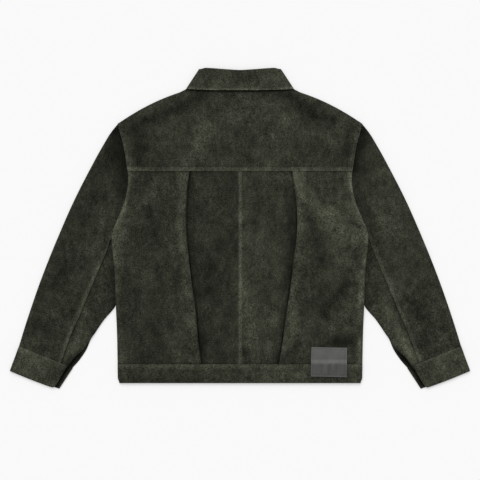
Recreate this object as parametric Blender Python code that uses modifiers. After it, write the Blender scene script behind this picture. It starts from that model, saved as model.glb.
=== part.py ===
"""Suede jacket, laid flat with its back up.

The cloth pieces are walls lofted through sections. World axes: +X is the right of the
laid jacket seen from above, +Y runs from hem to collar, +Z is up from the surface.
Heights along the jacket ("up") are measured from the hem, widths ("half") from its
centre line. All sizes are in metres.
"""
import math

import bmesh
import bpy
from mathutils import Vector

# Walls and seams.
WALL = 0.0013            # suede
BAND_WALL = 0.0026       # hem band, two plies
CUFF_WALL = 0.0024       # cuff, two plies
PATCH_WALL = 0.0012
GAP = 0.0003             # between neighbouring pieces
SEAM_SHARE = 0.3         # of the height of a rolled side, left open at its hidden seam
INNER_SEAM = 0.0007      # the sleeve's hidden seam, between two rolled edges
LAP = 0.008              # a lapped, topstitched seam
LAP_STEP = 0.0045        # the slope beside a lap
LAP_RISE = WALL + GAP
TURN = 0.00095           # radius of a sharp fold, to the middle of the wall

# Plan of the laid jacket.
MIDDLE = 0.3437          # from the hem to the middle of the whole length
YOKE_SEAM = 0.4713
BAND_TOP = 0.0423
BAND_ROWS = (0.0, 0.012, 0.024, 0.0343, BAND_TOP)
BAND_CORNER = 0.0035     # how far the band's lower corners draw in
SHOULDER_TIP = (0.2726, 0.5763)   # half, up
SHOULDER_NECK = (0.1210, 0.6505)
SHOULDER_BULGE = 0.008
NECK_RISE = 0.016        # the back neck above the shoulder's neck end
NECK_SQUARENESS = 0.6
CENTRE_SEAM_EDGE = -0.003
CUFF_LENGTH = 0.059

# Levels of the middle of the wall above the surface.
FLOOR = WALL / 2
BACK = 0.0046
SLEEVE_CUFF = 0.0034     # sleeve's upper side at the cuff
SLEEVE_CAP = 0.0042      # and at the armhole
TUCK_SLEEVE = FLOOR + 0.0021    # sleeve's upper side under the body
TUCK_FRONT = 0.0037      # how far the tucked sleeve lifts the front
TUCK_BACK = 0.0030       # and the back
BAND_UP = 0.0049
CUFF_UP = 0.0043
ARMHOLE_RISE = 0.0013
PLEAT_RISE = 4 * TURN
PLEAT_DEPTH = 0.020
PLEAT_BROW = (0.008, 0.002)     # how far before its fold edge what lies on a pleat rises
PLEAT_SLOPE = 0.036

# Stretches over which one shape passes into the next, each (start, end).
# Measured up from the hem:
ARMPIT_PASS = (0.318, 0.340)
SLEEVE_LAP_END = (0.545, 0.565)
FRONT_FLARE = (0.318, 0.345)
FRONT_ROLL_END = (0.298, 0.318)
FOLDS_END = (0.622, 0.642)
TUCK_FOOT = (0.125, 0.165)
TUCK_HEAD = (0.345, 0.385)
FLAT_SLEEVE_FOOT = (0.100, 0.150)
FLAT_SLEEVE_HEAD = (0.350, 0.390)
SLEEVE_FILL = (0.080, 0.250)
SLEEVE_FOLLOW = (0.330, 0.349)
BAND_LAP_SLOPE = (0.022, 0.0343)
# Measured across from the centre line:
TUCK_SIDE = (0.228, 0.251)
SHOULDER_ROLL = (0.112, 0.126)
FRONT_SHOULDER_ROLL = (0.119, 0.130)
# Measured from the edge that is named:
FLAT_SLEEVE_SIDE = (0.005, 0.045)       # outward from the body's side
LEAF_FADE = (0.010, 0.032)              # away from the collar's leaf
BACK_CORNER = (-0.020, -0.008)          # inward from the back's side
UNDER_CUFF = (0.006, 0.018)             # inward from the sleeve's outer fold
BELOW_YOKE = (0.0, 0.020)               # above the yoke's lap

# Side of the body: (up, half). Armhole edge above the armpit, side fold below it.
BODY_SIDE = (
    (0.000, 0.2719), (0.096, 0.2735), (0.185, 0.2766), (0.251, 0.2792), (0.305, 0.2848),
    (0.327, 0.2850), (0.343, 0.2808), (0.381, 0.2654), (0.409, 0.2554), (0.452, 0.2490),
    (0.487, 0.2530), (0.532, 0.2605), (0.576, 0.2726),
)
# Fold edge of each back pleat: (up, half).
PLEAT_EDGE_LEFT = (
    (0.020, 0.0870), (0.044, 0.0888), (0.096, 0.0945), (0.151, 0.0995), (0.263, 0.1139),
    (0.347, 0.1219), (0.423, 0.1202), (0.474, 0.1133), (0.490, 0.1105),
)
PLEAT_EDGE_RIGHT = (
    (0.020, 0.0870), (0.044, 0.0890), (0.096, 0.0970), (0.151, 0.1048), (0.263, 0.1206),
    (0.347, 0.1286), (0.423, 0.1252), (0.474, 0.1178), (0.490, 0.1150),
)
# Sleeve guides, from the armhole to the cuff seam: (half, up).
SLEEVE_OUTER = (
    (0.2730, 0.5755), (0.2866, 0.5585), (0.2979, 0.5407), (0.3231, 0.4962), (0.3687, 0.4072),
    (0.4078, 0.3182), (0.4432, 0.2292), (0.4739, 0.1402), (0.4919, 0.0823),
)
SLEEVE_SEAM = (
    (0.2705, 0.3490), (0.2800, 0.3330), (0.2890, 0.3160), (0.2955, 0.2960), (0.3115, 0.2570),
    (0.3338, 0.2047), (0.3560, 0.1513), (0.3756, 0.1068), (0.3978, 0.0456),
)
SLEEVE_INNER = (
    (0.2555, 0.3250), (0.2565, 0.2950), (0.2590, 0.2600), (0.2640, 0.2200), (0.2710, 0.1870),
    (0.2800, 0.1670), (0.3030, 0.1400), (0.3302, 0.0995), (0.3471, 0.0745), (0.3668, 0.0578),
    (0.3840, 0.0385),
)
SLEEVE_INNER_LOW = SLEEVE_INNER[:-3] + ((0.3412, 0.0745), (0.3566, 0.0512), (0.3725, 0.0330))
# Shares of the sleeve's length.
VENT_START = (0.68, 0.75)
SLEEVE_LAST = (0.90, 1.0)
# Cuff corners: (half, up), on the seam line and on the free edge.
CUFF_OUTER = ((0.4919, 0.0823), (0.5124, 0.0272))
CUFF_INNER = ((0.3840, 0.0385), (0.4132, -0.0112))
CUFF_INNER_LOW = ((0.3725, 0.0330), (0.4023, -0.0127))
CUFF_BOW = 0.0012        # how far the middle of the cuff's free edge bows out
CUFF_CORNER = (0.88, 0.006)   # share of the length and depth of the vent corner's rounding

FRONT_ARMHOLE_FOOT = (0.2590, 0.3450)   # half, up
FRONT_SHOULDER_TIP = 0.2700
SEAM_TO_VENT = 0.0195    # from the cuff's vent edge to the middle of the sleeve's lap
STRIP_EASE = 0.001       # how much wider the cuff rises than that lap
CUFF_SETTLED = 0.35      # share of the cuff's length by which it has come down off the sleeve

# Collar corners: (half, up). Side fold line, and the front leaf under the jacket.
COLLAR_SIDE = ((0.0903, 0.7000), (0.1193, 0.6557))
COLLAR_FRONT = ((0.0067, 0.6030), (0.0757, 0.5450))
COLLAR_TOP = 0.6956      # fold line at the centre back
COLLAR_TOP_DIP = 0.0024  # how far the fold line drops at its corners
COLLAR_TOP_BEND = 1.2
COLLAR_LOW = 0.6514      # free edge at the centre back
COLLAR_CORE = 0.003575   # level about which the collar turns at its sides
COLLAR_OUT = COLLAR_CORE - FLOOR
COLLAR_OUTWARD = Vector((COLLAR_SIDE[0][1] - COLLAR_SIDE[1][1],
                         COLLAR_SIDE[1][0] - COLLAR_SIDE[0][0])).normalized()
COLLAR_IN = COLLAR_OUT - 2 * TURN
COLLAR_FALL = 0.048      # from the fold line to the free edge
LEAF_STAND = 0.36        # the stand's share of the fall at the collar's front end
COLLAR_CORNER = (0.86, 1.0)             # share of the way to the side fold
COLLAR_ROUND = 0.035     # how far its corner is rounded, as a share of the side fold
COLLAR_STATIONS = (
    1.0, 0.94, 0.86, 0.66, 0.44, 0.22, 0.0, -0.22, -0.44, -0.66, -0.86, -0.94, -1.0,
)
LEAF_LIFT = 2 * TURN

# Neck edge of a front: (half, up).
FRONT_NECK = (
    (0.0000, 0.5670), (0.0286, 0.5784), (0.0789, 0.6122), (0.1155, 0.6508), (0.1195, 0.6520),
)
# Rows of a front at its side, closer where the sleeve is tucked below it.
FRONT_ROWS = (
    0.0426, 0.085, 0.125, 0.138, 0.152, 0.165, 0.215, 0.265, 0.298, 0.308, 0.318, 0.327,
    0.336, 0.345, 0.358, 0.371, 0.385, 0.420, 0.450, 0.485, 0.515, 0.545, 0.5763,
)
# Columns of a front, as shares from the centre front to the side.
FRONT_COLUMNS = (0.0, 0.06, 0.12, 0.20, 0.30, 0.43, 0.57, 0.70, 0.80, 0.86, 0.91, 1.0)
# Columns of the sleeve's under side, as shares from its outer to its inner edge.
UNDER_SIDE_COLUMNS = (0.904, 0.838, 0.760, 0.40)

# Patch on the right of the hem: centre, size and turn.
PATCH_CENTRE = (0.1978, 0.0468)
PATCH_SIZE = (0.0790, 0.0650)
PATCH_TURN = math.radians(-1.2)
PATCH_STEP = (0.0026, 0.0105)           # above the band, where the patch comes down off it
PATCH_UPPER_ROWS = (0.15, 0.32, 1.0)    # shares from the band's edge to the patch's top

# Main soft folds of the upper side: start x, start up, end x, end up, half width, height.
FOLDS = (
    (0.000, 0.618, -0.111, 0.490, 0.020, 0.0016),
    (0.000, 0.618, 0.118, 0.490, 0.020, 0.0016),
    (0.000, 0.560, 0.000, 0.505, 0.034, -0.0008),
    (-0.125, 0.585, -0.165, 0.545, 0.018, -0.0006),
    (0.125, 0.585, 0.165, 0.545, 0.018, -0.0006),
    (0.111, 0.563, 0.235, 0.495, 0.014, -0.0008),
    (0.133, 0.429, 0.222, 0.335, 0.017, 0.0013),
    (0.150, 0.400, 0.174, 0.296, 0.014, -0.0008),
    (0.236, 0.218, 0.178, 0.151, 0.015, -0.0009),
    (-0.167, 0.420, -0.160, 0.360, 0.018, 0.0010),
    (-0.200, 0.318, -0.165, 0.372, 0.014, -0.0006),
    (0.024, 0.185, 0.024, 0.085, 0.013, 0.0009),
    (-0.300, 0.470, -0.352, 0.330, 0.018, 0.0010),
    (0.300, 0.470, 0.352, 0.330, 0.018, 0.0010),
    (-0.385, 0.250, -0.425, 0.150, 0.016, 0.0009),
    (0.385, 0.250, 0.425, 0.150, 0.016, 0.0009),
)


def smooth(low, high, value):
    """Rise from 0 to 1 between low and high, level at both ends."""
    share = min(max((value - low) / (high - low), 0.0), 1.0)
    return share * share * (3.0 - 2.0 * share)


def mix(first, second, share):
    return first + (second - first) * share


def spread(first, last, count):
    """The places that part a stretch evenly, with both its ends."""
    return [mix(first, last, step / count) for step in range(count + 1)]


def spline(rows, place):
    """Read a smooth curve through (place, value) rows."""
    index = 0
    while index < len(rows) - 2 and place > rows[index + 1][0]:
        index += 1
    start, end = rows[index], rows[index + 1]
    before = rows[max(index - 1, 0)]
    after = rows[min(index + 2, len(rows) - 1)]
    width = end[0] - start[0]
    share = min(max((place - start[0]) / width, 0.0), 1.0)
    slope_in = (end[1] - before[1]) / (end[0] - before[0]) * width
    slope_out = (after[1] - start[1]) / (after[0] - start[0]) * width
    square, cube = share * share, share ** 3
    return (start[1] * (2 * cube - 3 * square + 1) + slope_in * (cube - 2 * square + share)
            + end[1] * (3 * square - 2 * cube) + slope_out * (cube - square))


def guide(points, share):
    """The point at a share of the way along a smooth curve through plan points."""
    reach = [0.0]
    for first, second in zip(points, points[1:]):
        reach.append(reach[-1] + math.dist(first, second))
    place = share * reach[-1]
    return Vector([spline([(far, point[axis]) for far, point in zip(reach, points)], place)
                   for axis in (0, 1)])


# ---- The jacket's outlines -------------------------------------------------------

def body_half(up):
    return spline(BODY_SIDE, up)


def pleat_half(x, up):
    return spline(PLEAT_EDGE_LEFT if x < 0 else PLEAT_EDGE_RIGHT, up)


def shoulder_up(half):
    """Top edge of the back: the shoulder line, and the neck between the shoulders."""
    if half < SHOULDER_NECK[0]:
        return SHOULDER_NECK[1] + NECK_RISE * (1 - (half / SHOULDER_NECK[0]) ** 2) ** NECK_SQUARENESS
    share = (half - SHOULDER_NECK[0]) / (SHOULDER_TIP[0] - SHOULDER_NECK[0])
    return mix(SHOULDER_NECK[1], SHOULDER_TIP[1], share) + SHOULDER_BULGE * 4 * share * (1 - share)


def front_top(half):
    """Top edge of a front: its neck below the collar's stand, then the shoulder."""
    return spline(FRONT_NECK, half) if half < FRONT_NECK[-1][0] else shoulder_up(half)


def above_armpit(up):
    return smooth(*ARMPIT_PASS, up)


def sleeve_start(up):
    """Where the sleeve's edge lies: under the body's lap, or beside it near the shoulder."""
    lap = LAP * above_armpit(up) * (1 - smooth(*SLEEVE_LAP_END, up))
    return body_half(up) - lap


def front_armhole(up):
    """The front's edge: straight down from the shoulder, then out to the side fold."""
    foot, foot_up = FRONT_ARMHOLE_FOOT
    straight = mix(foot, FRONT_SHOULDER_TIP, (up - foot_up) / (SHOULDER_TIP[1] - foot_up))
    return mix(body_half(up), straight, smooth(*FRONT_FLARE, up))


# ---- Levels ----------------------------------------------------------------------

def relief(x, up):
    """Height of the soft folds at a place on the upper side."""
    height = 0.0
    for x0, up0, x1, up1, width, rise in FOLDS:
        start, run = Vector((x0, up0)), Vector((x1 - x0, up1 - up0))
        offset = Vector((x, up)) - start
        share = min(max(offset.dot(run) / run.length_squared, 0.0), 1.0)
        height += rise * math.exp(-((offset - run * share).length / width) ** 2)
    return height * (1 - smooth(*FOLDS_END, up))


def tuck(half, up):
    """1 where the sleeve's underarm lies under the body."""
    return smooth(*TUCK_SIDE, half) * smooth(*TUCK_FOOT, up) * (1 - smooth(*TUCK_HEAD, up))


def leaf(half, up):
    """1 where the collar's front leaf lies under the front."""
    place = Vector((half, up))
    end_in, end_out = Vector(COLLAR_FRONT[0]), Vector(COLLAR_FRONT[1])
    side_out = Vector(COLLAR_SIDE[1])
    past_edge = (place - end_out).dot((side_out - end_out).orthogonal().normalized()) * -1
    past_end = (place - end_in).dot((end_out - end_in).orthogonal().normalized()) * -1
    return 1 - smooth(*LEAF_FADE, max(past_edge, past_end))


def back_level(x, up):
    return BACK + relief(x, up) + TUCK_BACK * tuck(abs(x), up)


def front_level(half, up):
    return FLOOR + TUCK_FRONT * tuck(half, up) + LEAF_LIFT * leaf(half, up)


def armhole_rise(x, up):
    """The body's edge steps up on to the sleeve."""
    inner = body_half(up) - LAP
    return ARMHOLE_RISE * above_armpit(up) * smooth(inner - LAP_STEP, inner - GAP, abs(x))


def centre_rise(x):
    """The raised strip of the lapped centre back seam."""
    start, end = CENTRE_SEAM_EDGE, CENTRE_SEAM_EDGE + LAP
    return LAP_RISE * smooth(start - LAP_STEP, start - GAP, x) * (1 - smooth(end, end + LAP_STEP, x))


def pleat_rise(x, up):
    """Height of the pleat's layers, as what lies on them follows it."""
    half, edge = abs(x), pleat_half(x, up)
    back = edge + PLEAT_DEPTH + WALL
    climb = smooth(edge - PLEAT_BROW[0], edge - PLEAT_BROW[1], half)
    return PLEAT_RISE * climb * (1 - smooth(back, back + PLEAT_SLOPE, half))


def panels_level(x, up):
    """Middle of the uppermost layer of the back panels."""
    return back_level(x, up) + centre_rise(x) + pleat_rise(x, up) + armhole_rise(x, up)


def sleeve_level(x, up):
    """Middle of the sleeve's upper side."""
    beside = 1 - smooth(*FLAT_SLEEVE_SIDE, abs(x) - body_half(up))
    low = beside * smooth(*FLAT_SLEEVE_FOOT, up) * (1 - smooth(*FLAT_SLEEVE_HEAD, up))
    full = mix(SLEEVE_CUFF, SLEEVE_CAP, smooth(*SLEEVE_FILL, up)) + relief(x, up)
    return mix(full, TUCK_SLEEVE, low)


# ---- Making solids ---------------------------------------------------------------

def material(name, colour, roughness):
    made = bpy.data.materials.new(name)
    made.use_nodes = True
    shader = made.node_tree.nodes["Principled BSDF"]
    shader.inputs["Base Color"].default_value = (*colour, 1.0)
    shader.inputs["Roughness"].default_value = roughness
    shader.inputs["Metallic"].default_value = 0.0
    return made


def wall(name, sections, thickness, cloth, parts):
    """A wall of even thickness through equal sections of (x, up, z) points."""
    columns, rows = len(sections[0]) - 1, len(sections) - 1
    bm = bmesh.new()
    bmesh.ops.create_grid(bm, x_segments=columns, y_segments=rows, size=1.0)
    for vert in bm.verts:
        column = round((vert.co.x + 1) / 2 * columns)
        row = round((vert.co.y + 1) / 2 * rows)
        x, up, z = sections[row][column]
        vert.co = (x, up - MIDDLE, z)
    bmesh.ops.triangulate(bm, faces=bm.faces[:])
    mesh = bpy.data.meshes.new(name)
    bm.to_mesh(mesh)
    bm.free()
    mesh.shade_smooth()
    mesh.materials.append(cloth)
    piece = bpy.data.objects.new(name, mesh)
    solid = piece.modifiers.new("Wall", "SOLIDIFY")
    solid.thickness = thickness
    solid.offset = 0.0
    parts.objects.link(piece)
    return piece


def mirrored(sections, side):
    return [[(side * x, up, z) for x, up, z in section] for section in sections]


# ---- Body ------------------------------------------------------------------------

ROLL = (1 / 3, 2 / 3, 1.0)    # steps of a quarter roll
TURN_OVER = tuple(math.pi * step / 6 for step in (-1, 1, 3))    # angles of a sharp fold


def rolled(edge, radius, step, amount):
    """Reach and drop of a wall's edge that rolls over by a quarter turn."""
    angle = step * math.pi / 2
    reach = edge - WALL / 2 - radius + radius * mix(step, math.sin(angle), amount)
    return reach, radius * (1 - math.cos(angle)) * amount


def back_panel(name, side, cloth, parts):
    """Half of the back with its knife pleat; the right half laps the left one."""
    rows, flat_columns, top_columns = 18, 5, 6
    start = -(CENTRE_SEAM_EDGE + LAP - GAP) if side < 0 else CENTRE_SEAM_EDGE
    sections = []
    for share in spread(0.0, 1.0, rows):
        row_up = mix(BAND_TOP - LAP, YOKE_SEAM + LAP, share)
        edge, pleat = body_half(row_up), pleat_half(side, row_up)
        section = []

        def add(half, layer):
            low = mix(BAND_TOP - LAP, BAND_TOP + GAP, smooth(*BACK_CORNER, half - edge))
            up = mix(low, YOKE_SEAM + LAP, share)
            section.append((side * half, up, back_level(side * half, up) + layer))

        lap_end = CENTRE_SEAM_EDGE + LAP
        flat = spread(lap_end + LAP_STEP, pleat + PLEAT_DEPTH, flat_columns)
        for half in [start, lap_end] + flat:
            add(half, centre_rise(half) if side > 0 else 0.0)
        for angle in TURN_OVER:
            add(pleat + PLEAT_DEPTH + TURN * math.cos(angle), TURN * (1 + math.sin(angle)))
        add(pleat, 2 * TURN)
        for angle in TURN_OVER:
            add(pleat - TURN * math.cos(angle), TURN * (3 + math.sin(angle)))
        lap_start = edge - LAP
        pleat_end = pleat + PLEAT_DEPTH + WALL
        for half in spread(pleat_end, lap_start - LAP_STEP, top_columns) + [lap_start - GAP]:
            fall = 1 - smooth(pleat_end, pleat_end + PLEAT_SLOPE, half)
            add(half, PLEAT_RISE * fall + armhole_rise(half, row_up))
        side_up = mix(BAND_TOP + GAP, YOKE_SEAM + LAP, share)
        rise = armhole_rise(edge, row_up)
        radius = (back_level(side * edge, side_up) - front_level(edge, side_up) - GAP) / 2
        for step in (0.0,) + ROLL:
            reach, drop = rolled(edge, radius, step, 1 - above_armpit(row_up))
            add(reach, rise - drop)
        sections.append(section)
    wall(name, sections, WALL, cloth, parts)


def across_back(up, edge):
    """Columns from side to side that meet each ridge of the back."""
    strip = (CENTRE_SEAM_EDGE, CENTRE_SEAM_EDGE + LAP)
    halves = []
    for side in (-1, 1):
        pleat = pleat_half(side, up)
        half = spread(0.022, pleat - PLEAT_BROW[0], 4) + [pleat - PLEAT_BROW[1]]
        half += spread(pleat + PLEAT_DEPTH + WALL, edge - LAP - LAP_STEP, 6) + [edge - LAP, edge]
        halves.append(half)
    strips = [strip[0] - LAP_STEP, strip[0], strip[1], strip[1] + LAP_STEP]
    return [-x for x in reversed(halves[0])] + strips + halves[1]


def back_yoke(cloth, parts):
    """The yoke laps the panels below it and rolls over the shoulders."""
    rows = 7
    lap_end = YOKE_SEAM + LAP
    first_up = lap_end + LAP_STEP
    edge = body_half(YOKE_SEAM)
    across = [x / edge for x in across_back(YOKE_SEAM, edge)]
    levels = [(YOKE_SEAM, 0.0, 0.0), (lap_end, 0.0, 0.0)]
    levels += [(first_up, share, 0.0) for share in spread(0.0, 1.0, rows)]
    levels += [(first_up, 1.0, step) for step in ROLL]
    sections = []
    for low_up, share, step in levels:
        section = []
        edge = SHOULDER_TIP[0]
        for _ in range(6):
            edge = body_half(mix(low_up, shoulder_up(edge), share))
        for part_way in across:
            x = part_way * (edge - WALL / 2)
            half = abs(x)
            top = shoulder_up(half)
            radius = (back_level(x, top) - front_level(half, top) - GAP) / 2
            over = smooth(*SHOULDER_ROLL, half)
            reach, drop = rolled(top, radius, step, over)
            up = mix(low_up, reach, share)
            lapped = 1 - smooth(lap_end, first_up, up)
            near = 1 - smooth(*BELOW_YOKE, up - lap_end)
            z = back_level(x, up) + armhole_rise(x, up) + lapped * (LAP_RISE + GAP) - drop
            section.append((x, up, z + near * (centre_rise(x) + pleat_rise(x, YOKE_SEAM))))
        sections.append(section)
    wall("back_yoke", sections, WALL, cloth, parts)


def shoulder_rim(side, half, step):
    """Reach and climb of a front's top edge, which rolls up along the shoulder."""
    top = front_top(half)
    radius = (back_level(side * half, top) - front_level(half, top)) * (1 - SEAM_SHARE) / 2
    return rolled(top, radius, step, smooth(*FRONT_SHOULDER_ROLL, half))


def front_panel(name, side, cloth, parts):
    """A plain front; its side and shoulder roll up to just below the back's edges."""
    low = BAND_TOP + GAP
    rows = [(up, 0.0) for up in FRONT_ROWS] + [(FRONT_ROWS[-1], step) for step in ROLL]
    columns = [(part_way, 0.0) for part_way in FRONT_COLUMNS] + [(1.0, step) for step in ROLL]
    sections = []
    for row_up, rise_step in rows:
        edge = front_armhole(row_up) - GAP * above_armpit(row_up)
        share = min((row_up - low) / (shoulder_rim(side, edge, 0.0)[0] - low), 1.0)
        height = back_level(side * edge, row_up) - front_level(edge, row_up)
        section = []
        for part_way, side_step in columns:
            reach, lift = rolled(edge, height * (1 - SEAM_SHARE) / 2, side_step,
                                 1 - smooth(*FRONT_ROLL_END, row_up))
            half = mix(GAP, reach, part_way)
            rim, climb = shoulder_rim(side, half, rise_step)
            up = mix(low, rim, share)
            section.append((side * half, up, front_level(half, up) + lift + climb))
        sections.append(section)
    wall(name, sections, WALL, cloth, parts)


def hem_band(cloth, parts):
    """One band round the hem, lapping the back and meeting at the centre front."""
    half_thick = BAND_WALL / 2
    over = WALL / 2 + GAP + half_thick
    sections = []
    for up in BAND_ROWS:
        lapped = smooth(*BAND_LAP_SLOPE, up)
        edge = body_half(up) - half_thick - BAND_CORNER * (1 - smooth(0.0, BAND_ROWS[1], up))

        def top(x):
            return mix(BAND_UP + relief(x, BAND_TOP), panels_level(x, up) + over, lapped)

        radius = (top(edge) - half_thick) / 2
        flat = edge - radius
        front = [(half, half_thick) for half in spread(GAP, flat, 5)]
        fold = [(flat + radius * math.cos(angle), half_thick + radius * (1 + math.sin(angle)))
                for angle in spread(-math.pi / 2, math.pi / 2, 5)[1:-1]]
        right = [(x, up, z) for x, z in front + fold]
        across = across_back(up, flat)
        section = [(-x, y, z) for x, y, z in right] + [(x, up, top(x)) for x in across]
        sections.append(section + right[::-1])
    wall("hem_band", sections, BAND_WALL, cloth, parts)


# ---- Sleeves ---------------------------------------------------------------------

def sleeve_point(first, second, part_way, along, start=sleeve_start):
    """A plan point between two sleeve guides, bent near the body to follow its edge."""
    place = mix(guide(first, along), guide(second, along), part_way)
    begin = mix(guide(first, 0.0), guide(second, 0.0), part_way)
    pull = (start(begin.y) + GAP - begin.x) * smooth(*SLEEVE_FOLLOW, begin.y)
    return place + Vector((pull * (1 - along) ** 3, 0.0))


def sleeve_end(place, outer, along):
    """Move a point of the upper side on under the cuff, except at the outer fold."""
    under = smooth(*UNDER_CUFF, (place - outer).length)
    way = (Vector(CUFF_OUTER[1]) - Vector(CUFF_OUTER[0])).normalized()
    return place + way * mix(-2 * GAP, LAP, under) * smooth(*SLEEVE_LAST, along)


def square_to(points, along):
    """The plan direction square to a sleeve guide, away from the body."""
    way = guide(points, min(along + 0.02, 1.0)) - guide(points, max(along - 0.02, 0.0))
    return way.orthogonal().normalized()


def roll_way(outer, inner, along):
    """The way a sleeve's inner edge rolls, along the cuff's seam at the sleeve's end."""
    last = smooth(*SLEEVE_LAST, along)
    return mix(square_to(SLEEVE_INNER, along), (outer - inner).normalized(), last).normalized()


def outer_fold(outer, across, top, bottom, thickness, count):
    """Points round the outer fold from the under side to the upper side."""
    radius = (top - bottom) / 2
    centre = outer - across * (radius + thickness / 2)
    points = []
    for angle in spread(-math.pi / 2, math.pi / 2, count):
        place = centre + across * radius * math.cos(angle)
        points.append((place.x, place.y, bottom + radius * (1 + math.sin(angle))))
    return points


def inner_roll(edge, inward, radius, step, amount):
    """Plan place and climb of the quarter roll at the sleeve's inner edge."""
    reach, climb = rolled(0.0, radius, step, amount)
    return edge - inward * reach, climb


def sleeve_upper(name, side, cloth, parts):
    """From the inner fold under the arm, round the outer fold, to the lapped seam."""
    rows, top_columns = 16, 5
    sections = []
    for along in spread(0.0, 1.0, rows):
        outer = sleeve_point(SLEEVE_OUTER, SLEEVE_SEAM, 0.0, along)
        inner = sleeve_point(SLEEVE_OUTER, SLEEVE_INNER_LOW, 1.0, along)
        across = square_to(SLEEVE_OUTER, along)
        inward = roll_way(outer, inner, along)
        level = sleeve_level(inner.x, inner.y)
        radius = (level - FLOOR - INNER_SEAM) / 2
        shut = 1 - smooth(*VENT_START, along)
        section = []
        for step in ROLL[::-1]:
            place, climb = inner_roll(inner, inward, radius, step, shut)
            section.append((place.x, place.y, FLOOR + climb))
        reach = inner_roll(inner, inward, radius, 0.0, shut)[0]
        top = sleeve_level(outer.x, outer.y)
        fold = outer_fold(outer, across, top, FLOOR, WALL, 5)
        section.append((reach.x, reach.y, FLOOR))
        for part_way in UNDER_SIDE_COLUMNS:
            place = sleeve_point(SLEEVE_OUTER, SLEEVE_INNER_LOW, part_way, along, front_armhole)
            section.append((place.x, place.y, FLOOR))
        shift = sleeve_end(outer, outer, along) - outer
        section = [(x + shift.x, up + shift.y, z) for x, up, z in section]
        section += [(x + shift.x, up + shift.y, z) for x, up, z in fold[:-1]]
        seam = sleeve_point(SLEEVE_OUTER, SLEEVE_SEAM, 1.0, along)
        width = (seam - outer).length
        first = (Vector(fold[-1][:2]) - outer).length / width
        lap_start = 1 - (LAP + LAP_STEP) / width
        stops = spread(first, lap_start, top_columns) + [1 - LAP / width, 1.0]
        for part_way in stops:
            place = sleeve_point(SLEEVE_OUTER, SLEEVE_SEAM, part_way, along)
            rise = (LAP_RISE + 2 * GAP) * smooth(lap_start, 1 - LAP / width, part_way)
            level = sleeve_level(place.x, place.y)
            place = sleeve_end(place, outer, along)
            section.append((place.x, place.y, level + rise))
        sections.append(section)
    wall(name, mirrored(sections, side), WALL, cloth, parts)


def sleeve_under(name, side, cloth, parts):
    """From below the lapped seam to the inner fold, open along the vent."""
    rows, columns = 16, 4
    sections = []
    for along in spread(0.0, 1.0, rows):
        outer = sleeve_point(SLEEVE_OUTER, SLEEVE_SEAM, 0.0, along)
        inner = sleeve_point(SLEEVE_OUTER, SLEEVE_INNER, 1.0, along)
        seam = sleeve_point(SLEEVE_OUTER, SLEEVE_SEAM, 1.0, along)
        inward = square_to(SLEEVE_INNER, along)
        level = sleeve_level(inner.x, inner.y)
        radius = (level - FLOOR - INNER_SEAM) / 2
        shut = 1 - smooth(*VENT_START, along)
        part_way = 1 - (LAP - GAP) / (seam - outer).length
        hidden = sleeve_point(SLEEVE_OUTER, SLEEVE_SEAM, part_way, along)
        reach = inner_roll(inner, inward, radius, 0.0, shut)[0]
        section = []
        for place in [hidden] + spread(seam, reach, columns):
            z = sleeve_level(place.x, place.y)
            place = sleeve_end(place, outer, along)
            section.append((place.x, place.y, z))
        for step in ROLL:
            place, drop = inner_roll(inner, inward, radius, step, shut)
            place = sleeve_end(place, outer, along)
            section.append((place.x, place.y, level - drop))
        sections.append(section)
    wall(name, mirrored(sections, side), WALL, cloth, parts)


def cuff(name, side, cloth, parts):
    """From the upper side's vent edge, round the outer fold, to the under side's edge."""
    middle = CUFF_WALL / 2
    over = WALL / 2 + 3 * GAP + middle
    way = (Vector(CUFF_OUTER[1]) - Vector(CUFF_OUTER[0])).normalized()
    sections = []
    lap_share = LAP / CUFF_LENGTH
    for share in (0.0, lap_share, 0.25, 0.6, CUFF_CORNER[0], 1.0):
        outer = mix(Vector(CUFF_OUTER[0]), Vector(CUFF_OUTER[1]), share)
        inner = mix(Vector(CUFF_INNER[0]), Vector(CUFF_INNER[1]), share)
        inner_low = mix(Vector(CUFF_INNER_LOW[0]), Vector(CUFF_INNER_LOW[1]), share)
        across = (outer - inner).normalized()
        corner = max(share - CUFF_CORNER[0], 0.0) / (1 - CUFF_CORNER[0])
        inner += across * CUFF_CORNER[1] * (1 - math.sqrt(1 - corner ** 2))
        lapped = 1 - smooth(lap_share, CUFF_SETTLED, share)

        def top(place):
            return mix(CUFF_UP, sleeve_level(place.x, place.y) + over, lapped)

        def bowed(place, z):
            part_way = (place - inner_low).length / (outer - inner_low).length
            place = place + way * CUFF_BOW * share * 4 * part_way * (1 - part_way)
            return place.x, place.y, z

        fold = outer_fold(outer, across, top(outer), middle, CUFF_WALL, 5)
        tangent = Vector(fold[0][:2])
        section = [bowed(place, middle) for place in spread(inner_low, tangent, 5)]
        section += fold[1:-1]
        width = (Vector(fold[-1][:2]) - inner).length
        strip = LAP / 2 + STRIP_EASE
        stops = spread(width, SEAM_TO_VENT + strip + LAP_STEP, 6) + [SEAM_TO_VENT + strip]
        stops += [SEAM_TO_VENT - strip, SEAM_TO_VENT - strip - LAP_STEP, 0.0]
        for stop in stops:
            place = inner + across * stop
            raised = 1 - smooth(strip, strip + LAP_STEP, abs(stop - SEAM_TO_VENT))
            section.append(bowed(place, top(place) + lapped * LAP_RISE * raised))
        sections.append(section)
    wall(name, mirrored(sections, side), CUFF_WALL, cloth, parts)


# ---- Collar and patch ------------------------------------------------------------

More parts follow.
